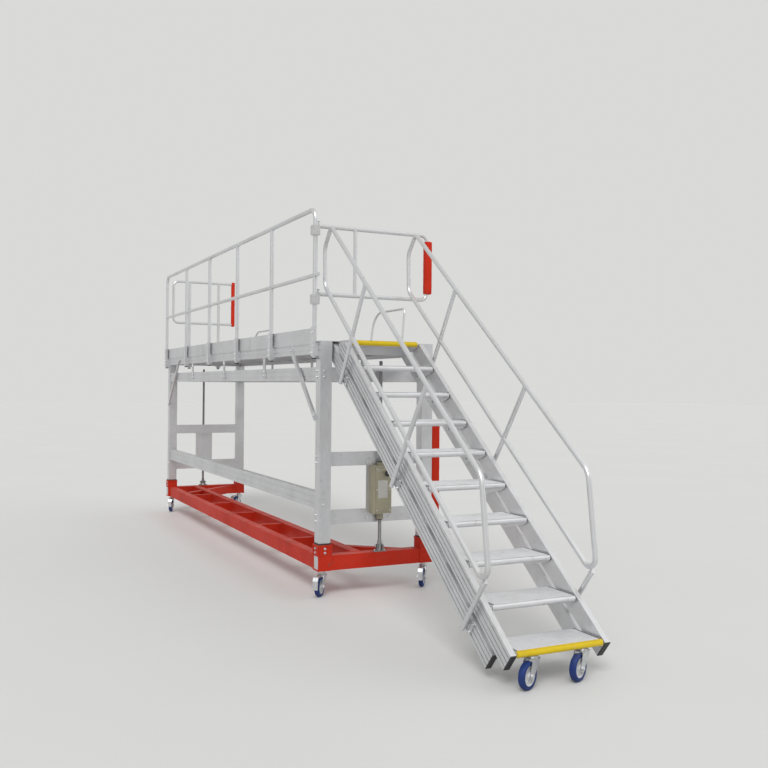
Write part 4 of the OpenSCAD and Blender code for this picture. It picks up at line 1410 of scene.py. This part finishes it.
@dataclass
class Deck:
    """The deck with its patterned plates, toe boards and grab hoops.

    A raised bar's size is half its length, half its width and its height. A rivet's and a screw's
    size is its radius and its height.
    """

    width: float
    length: float
    top: float
    edge_w: float = 50.0
    margin: float = 8.0
    pitch: float = 30.0
    bar: Size = (12.0, 3.2, 1.3)
    bar_sink: float = 0.2
    bar_ridge: float = 0.45
    plate_n: int = 4
    bare_by_seam: float = 30.0
    strip_half: float = 16.0
    strip_up: float = 1.5
    strip_sink: float = 0.5
    strip_gap: float = 2.0
    strip_rivet: Span = (3.6, 1.6)
    strip_rivet_n: int = 9
    strip_rivet_in: float = 40.0
    strip_rivet_aside: float = 9.0
    edge_rivet: Span = (4.2, 1.8)
    edge_rivet_n: int = 22
    edge_rivet_in: float = 60.0
    toe_h: float = 110.0
    toe_out: float = 5.0
    toe_from: float = 90.0
    toe_n: int = 3
    joint_half: float = 35.0
    joint_t: float = 4.0
    joint_gaps: Span = (8.0, 12.0)
    joint_screw_aside: float = 20.0
    joint_screw_gaps: Span = (16.0, 34.0)
    small_screw: Span = (5.0, 3.5)
    side_screw_n: int = 12
    side_screw_in: float = 240.0
    end_screw_n: int = 4
    end_screw_in: float = 120.0
    screw_drop: float = 10.0
    hoop_y: tuple[float, ...] = (532.0, 1212.0, 4288.0, 4968.0)
    hoop_clear: float = 50.0
    hoop_foot_t: float = 6.0
    hoop_bolt_aside: float = 20.0
    hoop_lean: Size = (34.5, 20.0, 345.0)
    hoop_tube: float = 22.0
    hoop_weld_up: float = 6.5

    def pattern(self) -> None:
        """Builds the raised bars of the deck plates."""
        piece = Piece("deck_pattern", "platform", DECK)
        rim = self.edge_w + self.margin
        x0, x1, y0, y1 = rim, self.width - rim, self.margin, self.length - rim
        nx, ny = int((x1 - x0) / self.pitch), int((y1 - y0) / self.pitch)
        px, py = (x1 - x0) / nx, (y1 - y0) / ny
        half, thick, high = self.bar
        seams = [self.length * k / self.plate_n for k in range(1, self.plate_n)]
        for i in range(nx):
            for j in range(ny):
                centre = Vector((x0 + (i + 0.5) * px, y0 + (j + 0.5) * py, self.top - self.bar_sink))
                if any(abs(centre.y - seam) < self.bare_by_seam for seam in seams):
                    continue
                turn = math.pi / 4 if (i + j) % 2 else -math.pi / 4
                u = Vector((math.cos(turn), math.sin(turn), 0))
                v = Vector((-u.y, u.x, 0))
                foot = [centre - u * half, centre - v * thick, centre + u * half, centre + v * thick]
                ridge = [centre + u * half * end * self.bar_ridge + Z * high for end in (-1, 1)]
                piece.add(foot + ridge, ((0, 1, 4), (1, 5, 4), (1, 2, 5), (2, 3, 5), (3, 4, 5), (3, 0, 4)))
        piece.build(smooth_deg=SHARP)

    def seams(self) -> None:
        """Builds the cover strips over the plates' joints, with rivets."""
        strips = Piece("deck_strips", "platform", ALONG_X)
        rivets = Piece("deck_rivets", "platform", BOLTS)
        left, right = self.edge_w + self.strip_gap, self.width - self.edge_w - self.strip_gap
        first = self.edge_w + self.strip_rivet_in
        crown = self.top + self.strip_up
        for k in range(1, self.plate_n):
            y = self.length * k / self.plate_n
            low = (left, y - self.strip_half, self.top - self.strip_sink)
            strips.box(low, (right, y + self.strip_half, crown))
            for x in spaced(first, self.width - first, self.strip_rivet_n):
                for aside in (-self.strip_rivet_aside, self.strip_rivet_aside):
                    rivets.dome(Vector((x, y + aside, crown)), Z, *self.strip_rivet, Sides.DECK_RIVET)
        for side, x in ((-1, self.edge_w / 2), (1, self.width - self.edge_w / 2)):
            for y in spaced(self.edge_rivet_in, self.length - self.edge_rivet_in, self.edge_rivet_n):
                if side > 0 and any(abs(y - hoop) < self.hoop_clear for hoop in self.hoop_y):
                    continue
                rivets.dome(Vector((x, y, self.top)), Z, *self.edge_rivet, Sides.EDGE_RIVET)
        strips.build()
        rivets.build()

    def toe_trim(self) -> None:
        """Builds the toe boards' joint plates and bolts, and the hoops' foot screws."""
        plates = Piece("toe_board_joints", "platform", ALONG_Z)
        bolts = Piece("deck_bolts", "platform", BOLTS)
        face = -self.toe_out - self.joint_t
        low, high = self.top - self.joint_gaps[0], self.top + self.toe_h - self.joint_gaps[1]
        levels = (self.top + self.joint_screw_gaps[0], self.top + self.toe_h - self.joint_screw_gaps[1])
        for k in range(1, self.toe_n):
            y = self.toe_from + (self.length - self.toe_from) * k / self.toe_n
            near, far = y - self.joint_half, y + self.joint_half
            plates.box((face, near, low), (-self.toe_out, far, high), edge=1.0)
            for aside in (-self.joint_screw_aside, self.joint_screw_aside):
                for z in levels:
                    bolts.socket_screw(Vector((face, y + aside, z)), -X, *self.small_screw)
        z = self.top - self.screw_drop
        for y in spaced(self.side_screw_in, self.length - self.side_screw_in, self.side_screw_n):
            bolts.socket_screw(Vector((-self.toe_out, y, z)), -X, *self.small_screw)
        for x in spaced(self.end_screw_in, self.width - self.end_screw_in, self.end_screw_n):
            bolts.socket_screw(Vector((x, self.length + self.toe_out, z)), Y, *self.small_screw)
        for y in self.hoop_y:
            for aside in (-self.hoop_bolt_aside, self.hoop_bolt_aside):
                foot = Vector((self.width - self.edge_w / 2, y + aside, self.top + self.hoop_foot_t))
                bolts.bolt(foot, Z, Bolt.HOOP)
        plates.build()
        bolts.build()

    def hoop_welds(self) -> None:
        """Builds the weld beads at the feet of the hoops."""
        piece = Piece("hoop_welds", "platform", TUBE)
        lean_x, lean_y, rise = self.hoop_lean
        for k, y in enumerate(self.hoop_y):
            lean = Vector((lean_x, lean_y if k % 2 == 0 else -lean_y, rise)).normalized()
            foot = Vector((self.width - self.edge_w / 2, y, self.top + self.hoop_weld_up))
            piece.collar(foot, lean, self.hoop_tube, radius=2.4)
        piece.build()

    def build(self) -> None:
        """Dresses the deck and builds its trim."""
        assign_nodes(ALONG_Y, "deck_edges", "toe_boards")
        assign_nodes(ALONG_X, "deck_joists")
        assign_nodes(DECK, "deck_plate")
        assign_nodes(TUBE, "deck_hoops")
        self.pattern()
        self.seams()
        self.toe_trim()
        self.hoop_welds()


@dataclass
class GuardRails:
    """The guard rails of the closed side and the loop at the far end."""

    width: float
    length: float
    deck: float
    x: float = -24.0
    top_h: float = 1085.0
    mid_h: float = 540.0
    tube: float = 38.0
    thin_tube: float = 34.0
    bead_r: float = 2.8
    inset: float = 80.0
    far: float = 5.0
    bays: int = 5
    bend: float = 100.0
    joint_drop: float = 17.0
    joint_out: float = 19.5
    loop_out: float = 24.0
    loop_x: Span = (288.7, 694.0)
    loop_levels: Span = (480.0, 1045.0)
    loop_drop: float = 15.0
    foot_drop: float = 145.0
    foot_bolts: tuple[float, ...] = (-95.0, -45.0, 70.0)
    foot_bolt_at: Span = (22.0, 21.0)
    foot_cap: Profile = ((20.5, 6), (20.5, 0), (18, -3))

    def _uprights(self) -> list[float]:
        """Lists the uprights' places along the deck."""
        return spaced(self.inset, self.length - self.far, self.bays + 1)

    def welds(self) -> None:
        """Builds the weld beads round the tubes' joints."""
        piece = Piece("guard_welds", "platform", TUBE)
        top, mid = self.deck + self.top_h, self.deck + self.mid_h
        uprights = self._uprights()
        for i, y in enumerate(uprights):
            if 0 < i < self.bays:
                piece.collar(Vector((self.x, y, top - self.joint_drop)), Z, self.tube)
            for side in (-1, 1):
                if i == self.bays and side > 0:
                    continue
                joint = Vector((self.x, y + side * self.joint_out, mid))
                piece.collar(joint, Y, self.thin_tube, self.bead_r)
        for end, side in ((uprights[0], 1), (uprights[-1], -1)):
            piece.collar(Vector((self.x, end + side * self.bend, top)), Y, self.tube, radius=1.6)
        y = self.length + self.loop_out
        low, high = (self.deck + level for level in self.loop_levels)
        for x in self.loop_x:
            piece.collar(Vector((x, y, high - self.loop_drop)), Z, self.tube, self.bead_r)
            for side in (-1, 1):
                piece.collar(Vector((x + side * self.joint_out, y, low)), X, self.thin_tube, self.bead_r)
        piece.build()

    def foot_trim(self) -> None:
        """Builds the bolts and the dark end caps at the feet of the uprights."""
        bolts = Piece("guard_foot_bolts", "platform", BOLTS)
        caps = Piece("guard_foot_caps", "platform", BLACK)
        places = [(Vector((self.x, y, 0)), -X, Y) for y in self._uprights()]
        places += [(Vector((x, self.length + self.loop_out, 0)), Y, X) for x in self.loop_x]
        outward, aside = self.foot_bolt_at
        for place, out, across in places:
            for side in (-1, 1):
                for up in self.foot_bolts:
                    head = place + out * outward + across * side * aside + Z * (self.deck + up)
                    bolts.bolt(head, out, Bolt.GUARD)
            caps.lathe(self.foot_cap, place + Z * (self.deck - self.foot_drop), Z, Sides.TUBE)
        bolts.build()
        caps.build()

    def build(self) -> None:
        """Dresses the guard rails and builds their trim."""
        assign_nodes(TUBE, "guard_uprights", "guard_rails", "far_guard_loop")
        self.welds()
        self.foot_trim()


@dataclass
class SwingGate:
    """The gate across the head of the stairs."""

    deck: float
    hinge: Span = (36.0, 172.0)
    post: float = 340.0
    levels: Span = (395.0, 960.0)
    weld_out: float = 15.0
    tubes: Span = (32.0, 34.0)
    cap_up: float = 34.5
    cap: Span = (17.5, 6.0)
    clamp_at: Span = (-50.0, 80.0)
    clamp_half: float = 31.0
    clamp_drop: float = 94.0
    clamp_screws: Span = (18.0, 62.0)

    def build(self) -> None:
        """Dresses the gate and builds its welds, hinge caps and clamp screws."""
        assign_nodes(TUBE, "gate_frame")
        assign_nodes(BOLTS, "gate_clamps")
        x, y = self.hinge
        post_tube, rail_tube = self.tubes
        welds = Piece("gate_welds", "gate", TUBE)
        for level, up in zip(self.levels, (1, -1), strict=True):
            z = self.deck + level
            welds.collar(Vector((x + self.post, y, z + up * self.weld_out)), Z, post_tube, radius=2.6)
            welds.collar(Vector((x + self.weld_out, y, z)), X, rail_tube, radius=2.6)
        welds.build()
        caps = Piece("gate_hinge_caps", "gate", BLACK)
        for level in self.levels:
            caps.dome(Vector((x, y, self.deck + level + self.cap_up)), Z, *self.cap, Sides.CAP)
        caps.build()
        screws = Piece("gate_clamp_screws", "platform", BOLTS)
        clamp_x, clamp_y = self.clamp_at
        for level in self.levels:
            for up in self.clamp_screws:
                for side in (-1, 1):
                    z = self.deck + level - self.clamp_drop + up
                    place = Vector((clamp_x, clamp_y + side * self.clamp_half, z))
                    screws.bolt(place, Y * side, Bolt.GUARD)
        screws.build()


@dataclass
class FoamPad:
    """A plain block of red foam with round edges."""

    name: str
    body: str
    node: str
    low: Vector
    high: Vector
    corner: float = 12.0
    step: float = 12.0
    arc_n: int = 6
    skin: float = 0.6
    waves: tuple[Span, Span] = ((0.021, 1.1), (0.08, 0.35))
    end_share: float = 0.7

    def _swell(self, point: Vector, middle: Vector) -> Vector:
        """Gives the small unevenness of the foam's skin at a point.

        Args:
            point: The point.
            middle: The pad's middle.

        Returns:
            How far the point moves.
        """
        bump = sum(noise.noise(point * scale) * height for scale, height in self.waves)
        away = Vector((point.x - middle.x, point.y - middle.y, 0)).normalized()
        return away * (bump - self.skin)

    def _levels(self) -> list[float]:
        """Lists the heights of the rings, close together where the ends are round.

        Returns:
            The heights, from the lowest.
        """
        low, high = self.low.z, self.high.z
        rows = round((high - low - 2 * self.corner) / self.step)
        inner = spaced(low + self.corner, high - self.corner, rows + 1)
        turns = [k * math.pi / 2 / self.arc_n for k in range(1, self.arc_n)]
        arc = [self.corner * (1 - math.cos(turn)) for turn in turns]
        return [low + h for h in arc] + inner + [high - h for h in reversed(arc)]

    def build(self) -> None:
        """Builds the foam, rounded at its ends."""
        piece = Piece(self.name, self.body, FOAM)
        size = self.high - self.low
        middle = (self.low + self.high) / 2
        rings = []
        for z in self._levels():
            from_end = min(z - self.low.z, self.high.z - z, self.corner)
            inset = self.corner - math.sqrt(self.corner**2 - (self.corner - from_end) ** 2) + self.skin
            centre = Vector((middle.x, middle.y, z))
            ring = rounded_square(centre, size.x / 2 - inset, size.y / 2 - inset, self.corner, steps=5)
            rings.append([point + self._swell(point, middle) for point in ring])
        ends = []
        for ring, z in ((rings[0], self.low.z), (rings[-1], self.high.z)):
            centre = Vector((middle.x, middle.y, z))
            ends.append([centre.lerp(Vector((p.x, p.y, z)), self.end_share) for p in ring])
        piece.loft([ends[0], *rings, ends[1]])
        made = piece.build(smooth_deg=SOFT)
        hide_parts(self.node)


@dataclass
class FoamPads:
    """The three foam pads, placed by the solids that they stand for."""

    width: float
    post_y: Span = (10.0, 90.0)
    post_top: float = 1415.0
    loop_half: float = 24.0
    loop_cover: float = 11.0
    loop_tube: float = 36.0

    def post_pad(self) -> FoamPad:
        """Gives the pad on the near right post.

        Returns:
            The pad.
        """
        low, high = node_box("bumper_pads")
        near, far = self.post_y
        corners = Vector((self.width, near, low.z)), Vector((high.x, far, self.post_top))
        return FoamPad("post_foam", "platform", "bumper_pads", *corners)

    def loop_pad(self) -> FoamPad:
        """Gives the pad round the loop at the far end.

        Returns:
            The pad.
        """
        low, high = node_box("far_guard_loop")
        half = self.loop_half
        x, y = high.x - self.loop_tube / 2, (low.y + high.y) / 2
        foot = Vector((x - half, y - half, low.z - self.loop_cover))
        head = Vector((x + half, y + half, high.z + self.loop_cover))
        return FoamPad("loop_foam", "platform", "bumper_pads", foot, head)

    def build(self) -> None:
        """Builds the pads."""
        self.post_pad().build()
        self.loop_pad().build()
        FoamPad("gate_foam", "gate", "gate_pad", *node_box("gate_pad")).build()


@dataclass
class StairFlight:
    """The self-levelling stairs: treads, landing, stringers and handrails."""

    deck: float
    middle: float
    plank: float = 603.4
    depth: float = 280.0
    landing_depth: float = 226.0
    tread_n: int = 9
    rib_pitch: float = 13.0
    rib: Profile = ((-3.4, 0), (3.4, 0), (2.2, 1.7), (-2.2, 1.7))
    rib_sink: float = 0.4
    rib_in: float = 14.0
    rib_from: float = 14.0
    rib_from_nosing: float = 30.0
    rib_back: float = 10.0
    cap_half: float = 5.0
    cap_up: float = 1.6
    cap_from: Span = (6.0, 8.0)
    cap_back: float = 3.0
    front_pin: Span = (77.0, -35.0)
    rear_pin: Span = (188.0, -45.0)
    washer: Profile = ((10.2, 0), (17, 0), (17, 2.4), (15.5, 3.2), (10.2, 3.2))
    washer_in: float = 4.9
    pin_head_in: float = 13.2
    grip: Profile = ((-1.6, -1), (1.6, -1), (0.9, 1.3), (-0.9, 1.3))
    grip_lines: tuple[Span, ...] = ((9.0, 3.0), (14.5, 0.0), (20.0, 0.0))
    grip_in: float = 6.0
    string_in: float = 315.0
    string_t: float = 38.0
    flange_t: float = 10.0
    flange_bolts: Span = (34.0, 33.0)
    flange_pin: Span = (10.5, 26.0)
    hand_x: float = 390.0
    hand_tube: float = 34.0
    strut_tube: float = 32.0
    low_h: float = 150.0
    high_h: float = 600.0
    strut_feet: tuple[float, ...] = (0.128, 0.54, 0.93)
    strut_heads: tuple[float, ...] = (0.13, 0.555, 0.962)
    strut_foot: Span = (265.0, -80.0)
    joint_share: float = 0.62
    first: Vector = field(init=False)
    along: Vector = field(init=False)
    upward: Vector = field(init=False)

    def __post_init__(self) -> None:
        """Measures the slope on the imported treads."""
        low, high = node_box("first_nosing")
        self.first = Vector((self.middle, low.y, high.z))
        slope = math.atan2(self.deck - high.z, -self.landing_depth - low.y)
        self.along = Vector((0, math.cos(slope), math.sin(slope)))
        self.upward = Vector((0, -math.sin(slope), math.cos(slope)))

    def nosing(self, i: int) -> Vector:
        """Gives the middle of a level's nosing."""
        last = Vector((self.middle, -self.landing_depth, self.deck))
        return self.first.lerp(last, (i - 1) / self.tread_n)

    def _place(self, i: int) -> tuple[str, str]:
        """Names a level, and the body that it rides on.

        Args:
            i: Number of the level, from 1. The landing is the last.

        Returns:
            The level's name and its body.
        """
        return ("landing", "platform") if i > self.tread_n else (f"tread_{i}", f"step_{i}")

    def _strip(self, piece: Piece, start: Vector, half: float, section: Profile) -> None:
        """Adds one straight strip across a level.

        Args:
            piece: The strips.
            start: Its middle.
            half: Half its length.
            section: Its outline, as pairs along y and z.
        """
        piece.loft([[start + Vector((x, *corner)) for corner in section] for x in (-half, half)])

    def ribs(self, i: int) -> None:
        """Builds the ribs and the end caps of one level.

        Args:
            i: Number of the level, from 1. The landing is the last.
        """
        label, body = self._place(i)
        start = self.nosing(i)
        depth = self.landing_depth if i > self.tread_n else self.depth
        front = self.rib_from_nosing if i in (1, self.tread_n + 1) else self.rib_from
        ribs = Piece("ribs_" + label, body, TREAD)
        back = depth - self.rib_back
        for y in spaced(front, back, int((back - front) / self.rib_pitch) + 1):
            line = start + Vector((0, y, -self.rib_sink))
            self._strip(ribs, line, self.plank / 2 - self.rib_in, self.rib)
        ribs.build(smooth_deg=SHARP)
        caps = Piece("end_caps_" + label, body, GREY_CAP)
        ahead, least = self.cap_from
        half = self.cap_half
        low = start + Vector((-half, max(front - ahead, least), -self.rib_sink))
        high = start + Vector((half, depth - self.cap_back, self.cap_up))
        for side in (-1, 1):
            aside = X * side * (self.plank / 2 - half)
            caps.box(low + aside, high + aside)
        caps.build()

    def pivot_trim(self, i: int) -> None:
        """Builds the washers on one level's pins.

        Args:
            i: Number of the level, from 1. The landing is the last.
        """
        label, body = self._place(i)
        piece = Piece("pivot_washers_" + label, body, BOLTS)
        front = self.nosing(i) + Vector((0, *self.front_pin))
        rear = front + Vector((0, *self.rear_pin))
        for side in (-1, 1):
            for pin in (front, rear):
                place = pin + X * side * (self.string_in - self.washer_in)
                piece.lathe(self.washer, place, X * side, Sides.TUBE, closed=True)
                piece.bolt(pin + X * side * (self.string_in - self.pin_head_in), -X * side)
        piece.build()

    def nosing_grip(self, i: int) -> None:
        """Builds the grip lines of a yellow nosing.

        Args:
            i: Number of the level that it stands before.
        """
        piece = Piece(f"nosing_grip_{i}", self._place(i)[1], YELLOW)
        for y, drop in self.grip_lines:
            line = self.nosing(i) + Vector((0, y, -drop))
            self._strip(piece, line, self.plank / 2 - self.grip_in, self.grip)
        piece.build(smooth_deg=SHARP)

    def handrail_trim(self) -> None:
        """Builds the struts' weld beads and the bolts of their flanges."""
        welds = Piece("handrail_welds", "lower_rails", TUBE)
        bolts = Piece("handrail_bolts", "lower_rails", ZINC)
        heights = (self.low_h, self.high_h, self.high_h)
        for side in (-1, 1):
            for foot, head, height in zip(self.strut_feet, self.strut_heads, heights, strict=True):
                self._strut_welds(welds, side, foot, head, height)
                self._flange(welds, bolts, side, foot)
        welds.build()
        bolts.build()

    def _rail_place(self, x: float, share: float, height: float) -> Vector:
        """Gives a place beside the stairs.

        Args:
            x: Distance from their middle.
            share: How far along them, as a share of their length.
            height: Height square to the slope.

        Returns:
            The place.
        """
        length = (self.nosing(self.tread_n + 1) - self.first).length
        return self.first + X * x + self.along * share * length + self.upward * height

    def _foot_height(self) -> float:
        """Gives the height of the struts' feet, square to the slope."""
        return Vector((0, *self.strut_foot)).dot(self.upward)

    def _strut_welds(self, welds: Piece, side: int, foot: float, head: float, height: float) -> None:
        """Adds the beads where one strut meets the handrail's tubes.

        Args:
            welds: The beads.
            side: -1 at the left and 1 at the right.
            foot: Where the strut starts, as a share of the stairs' length.
            head: Where it ends.
            height: How high it reaches, square to the slope.
        """
        low = self._foot_height()
        start = self._rail_place(side * self.hand_x, foot, low)
        end = self._rail_place(side * self.hand_x, head, height)
        run = (end - start).normalized()
        reach, tube = self.hand_tube * self.joint_share, self.strut_tube
        welds.collar(end - run * reach, run, tube, radius=3.0)
        if height > self.low_h:
            cross = start.lerp(end, (self.low_h - low) / (height - low))
            for way in (-1, 1):
                welds.collar(cross + run * way * reach, run, tube, radius=3.0)

    def _flange(self, welds: Piece, bolts: Piece, side: int, foot: float) -> None:
        """Adds the bolts and the bead of one strut's flange.

        Args:
            welds: The beads.
            bolts: The bolts.
            side: -1 at the left and 1 at the right.
            foot: Where the strut stands, as a share of the stairs' length.
        """
        out = self.string_in + self.string_t + self.flange_t
        face = self._rail_place(side * out, foot, self._foot_height())
        along, up = self.flange_bolts
        for u in (-1, 1):
            for v in (-1, 1):
                bolts.bolt(face + self.along * u * along + self.upward * v * up, X * side, Bolt.STRUT)
        reach, tube = self.flange_pin
        welds.collar(face + X * side * reach, X * side, tube, radius=2.4)

    def build(self) -> None:
        """Dresses the stairs and builds their trim."""
        assign_nodes(SLOPING, "upper_stringers", "lower_stringers")
        assign_nodes(TUBE, "handrails", "handrail_struts")
        assign_nodes(BLACK, "upper_caps", "lower_caps")
        assign_nodes(TREAD, "landing", *(f"tread_{i}" for i in range(1, self.tread_n + 1)))
        assign_nodes(YELLOW, "landing_nosing", "first_nosing")
        for i in range(1, self.tread_n + 2):
            self.ribs(i)
            self.pivot_trim(i)
        for i in (1, self.tread_n + 1):
            self.nosing_grip(i)
        self.handrail_trim()


@dataclass(frozen=True)
class Lamp:
    """One soft lamp, so far off that only its direction counts."""

    name: str
    place: Size
    spread_deg: float
    power: float


@dataclass
class Studio:
    """The pale floor, the lamps and the camera at the photograph's viewpoint."""

    eye: Vector = field(default_factory=lambda: Vector((-2751.1, -6792.3, 1711.2)))
    yaw_deg: float = 26.09
    pitch_deg: float = 0.16
    roll_deg: float = 0.52
    lens: float = 42.19
    sensor: float = 36.0
    sight: float = 200.0
    floor_half: float = 80.0
    floor_drop: float = 0.0005
    floor_colours: tuple[Colour, Colour] = ((0.72, 0.715, 0.70), (0.66, 0.655, 0.64))
    floor_roughness: float = 0.55
    cloud_scale: float = 0.5
    cloud_layers: Span = (4.0, 0.5)
    cloud_edge: Span = (0.3, 0.7)
    cloud_share: float = 0.3
    key: Lamp = Lamp("key", (-5.0, -6.5, 9.0), 30.0, 1.55)
    fill: Lamp = Lamp("fill", (7.0, -2.0, 5.0), 70.0, 0.55)
    backdrop: Colour = (0.70, 0.70, 0.69)
    sky: Colour = (0.97, 0.985, 1.0)
    sky_power: float = 0.52

    def camera(self) -> None:
        """Sets the camera."""
        yaw, pitch, roll = (math.radians(v) for v in (self.yaw_deg, self.pitch_deg, self.roll_deg))
        right = Vector((math.cos(yaw), -math.sin(yaw), 0))
        level = Vector((math.sin(yaw), math.cos(yaw), 0))
        ahead = level * math.cos(pitch) + Z * math.sin(pitch)
        up = Z * math.cos(pitch) - level * math.sin(pitch)
        side = right * math.cos(roll) + up * math.sin(roll)
        top = up * math.cos(roll) - right * math.sin(roll)
        data = bpy.data.cameras.new("view")
        data.lens = self.lens
        data.sensor_width = self.sensor
        data.clip_end = self.sight
        made = in_scene("view", data)
        turn = Matrix((side, top, -ahead)).transposed().to_4x4()
        made.matrix_world = Matrix.Translation(self.eye * MM + ORIGIN) @ turn
        bpy.context.scene.camera = made

    def floor(self) -> None:
        """Lays the pale floor."""
        mesh = bpy.data.meshes.new("studio_floor")
        turns = ((-1, -1), (1, -1), (1, 1), (-1, 1))
        corners = [(x * self.floor_half, y * self.floor_half, -self.floor_drop) for x, y in turns]
        mesh.from_pydata(corners, [], [(0, 1, 2, 3)])
        made = in_scene("studio_floor", mesh)
        material = bpy.data.materials.new("pale_floor")
        material.use_nodes = True
        graph = Graph(material.node_tree)
        shader = graph.surface()
        clouds = graph.noise(graph.place(), self.cloud_scale, self.cloud_layers)
        cloud_mask = graph.ramp(clouds, self.cloud_edge, (0.0, self.cloud_share))
        colour = graph.blend(*self.floor_colours, cloud_mask)
        graph.link(colour, shader.inputs["Base Color"])
        shader.inputs["Roughness"].default_value = self.floor_roughness
        mesh.materials.append(material)

    def lamps(self) -> None:
        """Hangs two wide soft lamps far off and lights the surroundings.

        The background is as bright as the lit floor, so no horizon shows.
        """
        for lamp in (self.key, self.fill):
            data = bpy.data.lights.new(lamp.name, "SUN")
            data.angle = math.radians(lamp.spread_deg)
            data.energy = lamp.power
            made = in_scene(lamp.name, data)
            made.location = lamp.place
            made.rotation_euler = (-Vector(lamp.place)).to_track_quat("-Z", "Y").to_euler()
        world = bpy.data.worlds.new("surroundings")
        bpy.context.scene.world = world
        world.use_nodes = True
        graph = Graph(world.node_tree)
        output = graph.add("ShaderNodeOutputWorld")
        seen = graph.add("ShaderNodeBackground")
        seen.inputs["Color"].default_value = (*self.backdrop, 1)
        lit = graph.add("ShaderNodeBackground")
        lit.inputs["Color"].default_value = (*self.sky, 1)
        lit.inputs["Strength"].default_value = self.sky_power
        path = graph.add("ShaderNodeLightPath")
        direct = graph.sum(path.outputs["Is Camera Ray"], path.outputs["Is Glossy Ray"])
        direct = graph.sum(direct, path.outputs["Is Transmission Ray"])
        mix = graph.add("ShaderNodeMixShader")
        graph.link(graph.ramp(direct, WHOLE, WHOLE), mix.inputs[0])
        graph.link(lit.outputs[0], mix.inputs[1])
        graph.link(seen.outputs[0], mix.inputs[2])
        graph.link(mix.outputs[0], output.inputs[0])

    def build(self) -> None:
        """Sets up the studio."""
        self.camera()
        self.floor()
        self.lamps()
        bpy.context.scene.view_settings.view_transform = "Standard"


def main() -> None:
    """Builds the looks in order and reports each piece."""
    logging.basicConfig(level=logging.INFO, format="%(name)s: %(message)s")
    post_high = node_box("posts")[1]
    width, length = post_high.x, post_high.y
    deck = node_box("deck_plate")[1].z
    step_low, step_high = node_box("tread_5")
    Studio().build()
    BaseFrame(width, length).build()
    for name in ("near_left", "near_right", "far_left", "far_right"):
        Castor(name, braked=True).build()
    for name in ("stair_left", "stair_right"):
        Castor(name, braked=False).build()
    Jacks(width, length).build()
    LiftFrame(width, length).build()
    Deck(width, length, deck).build()
    GuardRails(width, length, deck).build()
    SwingGate(deck).build()
    StairFlight(deck, (step_low.x + step_high.x) / 2).build()
    FoamPads(width).build()
    bare = sorted(set(frame["nodes"]) - DRESSED - {"bumper_pads", "gate_pad"})
    LOG.info("nodes without a finish of their own: %s", [n for n in bare if not n.startswith("wheel_")])


if __name__ == "__main__":
    main()
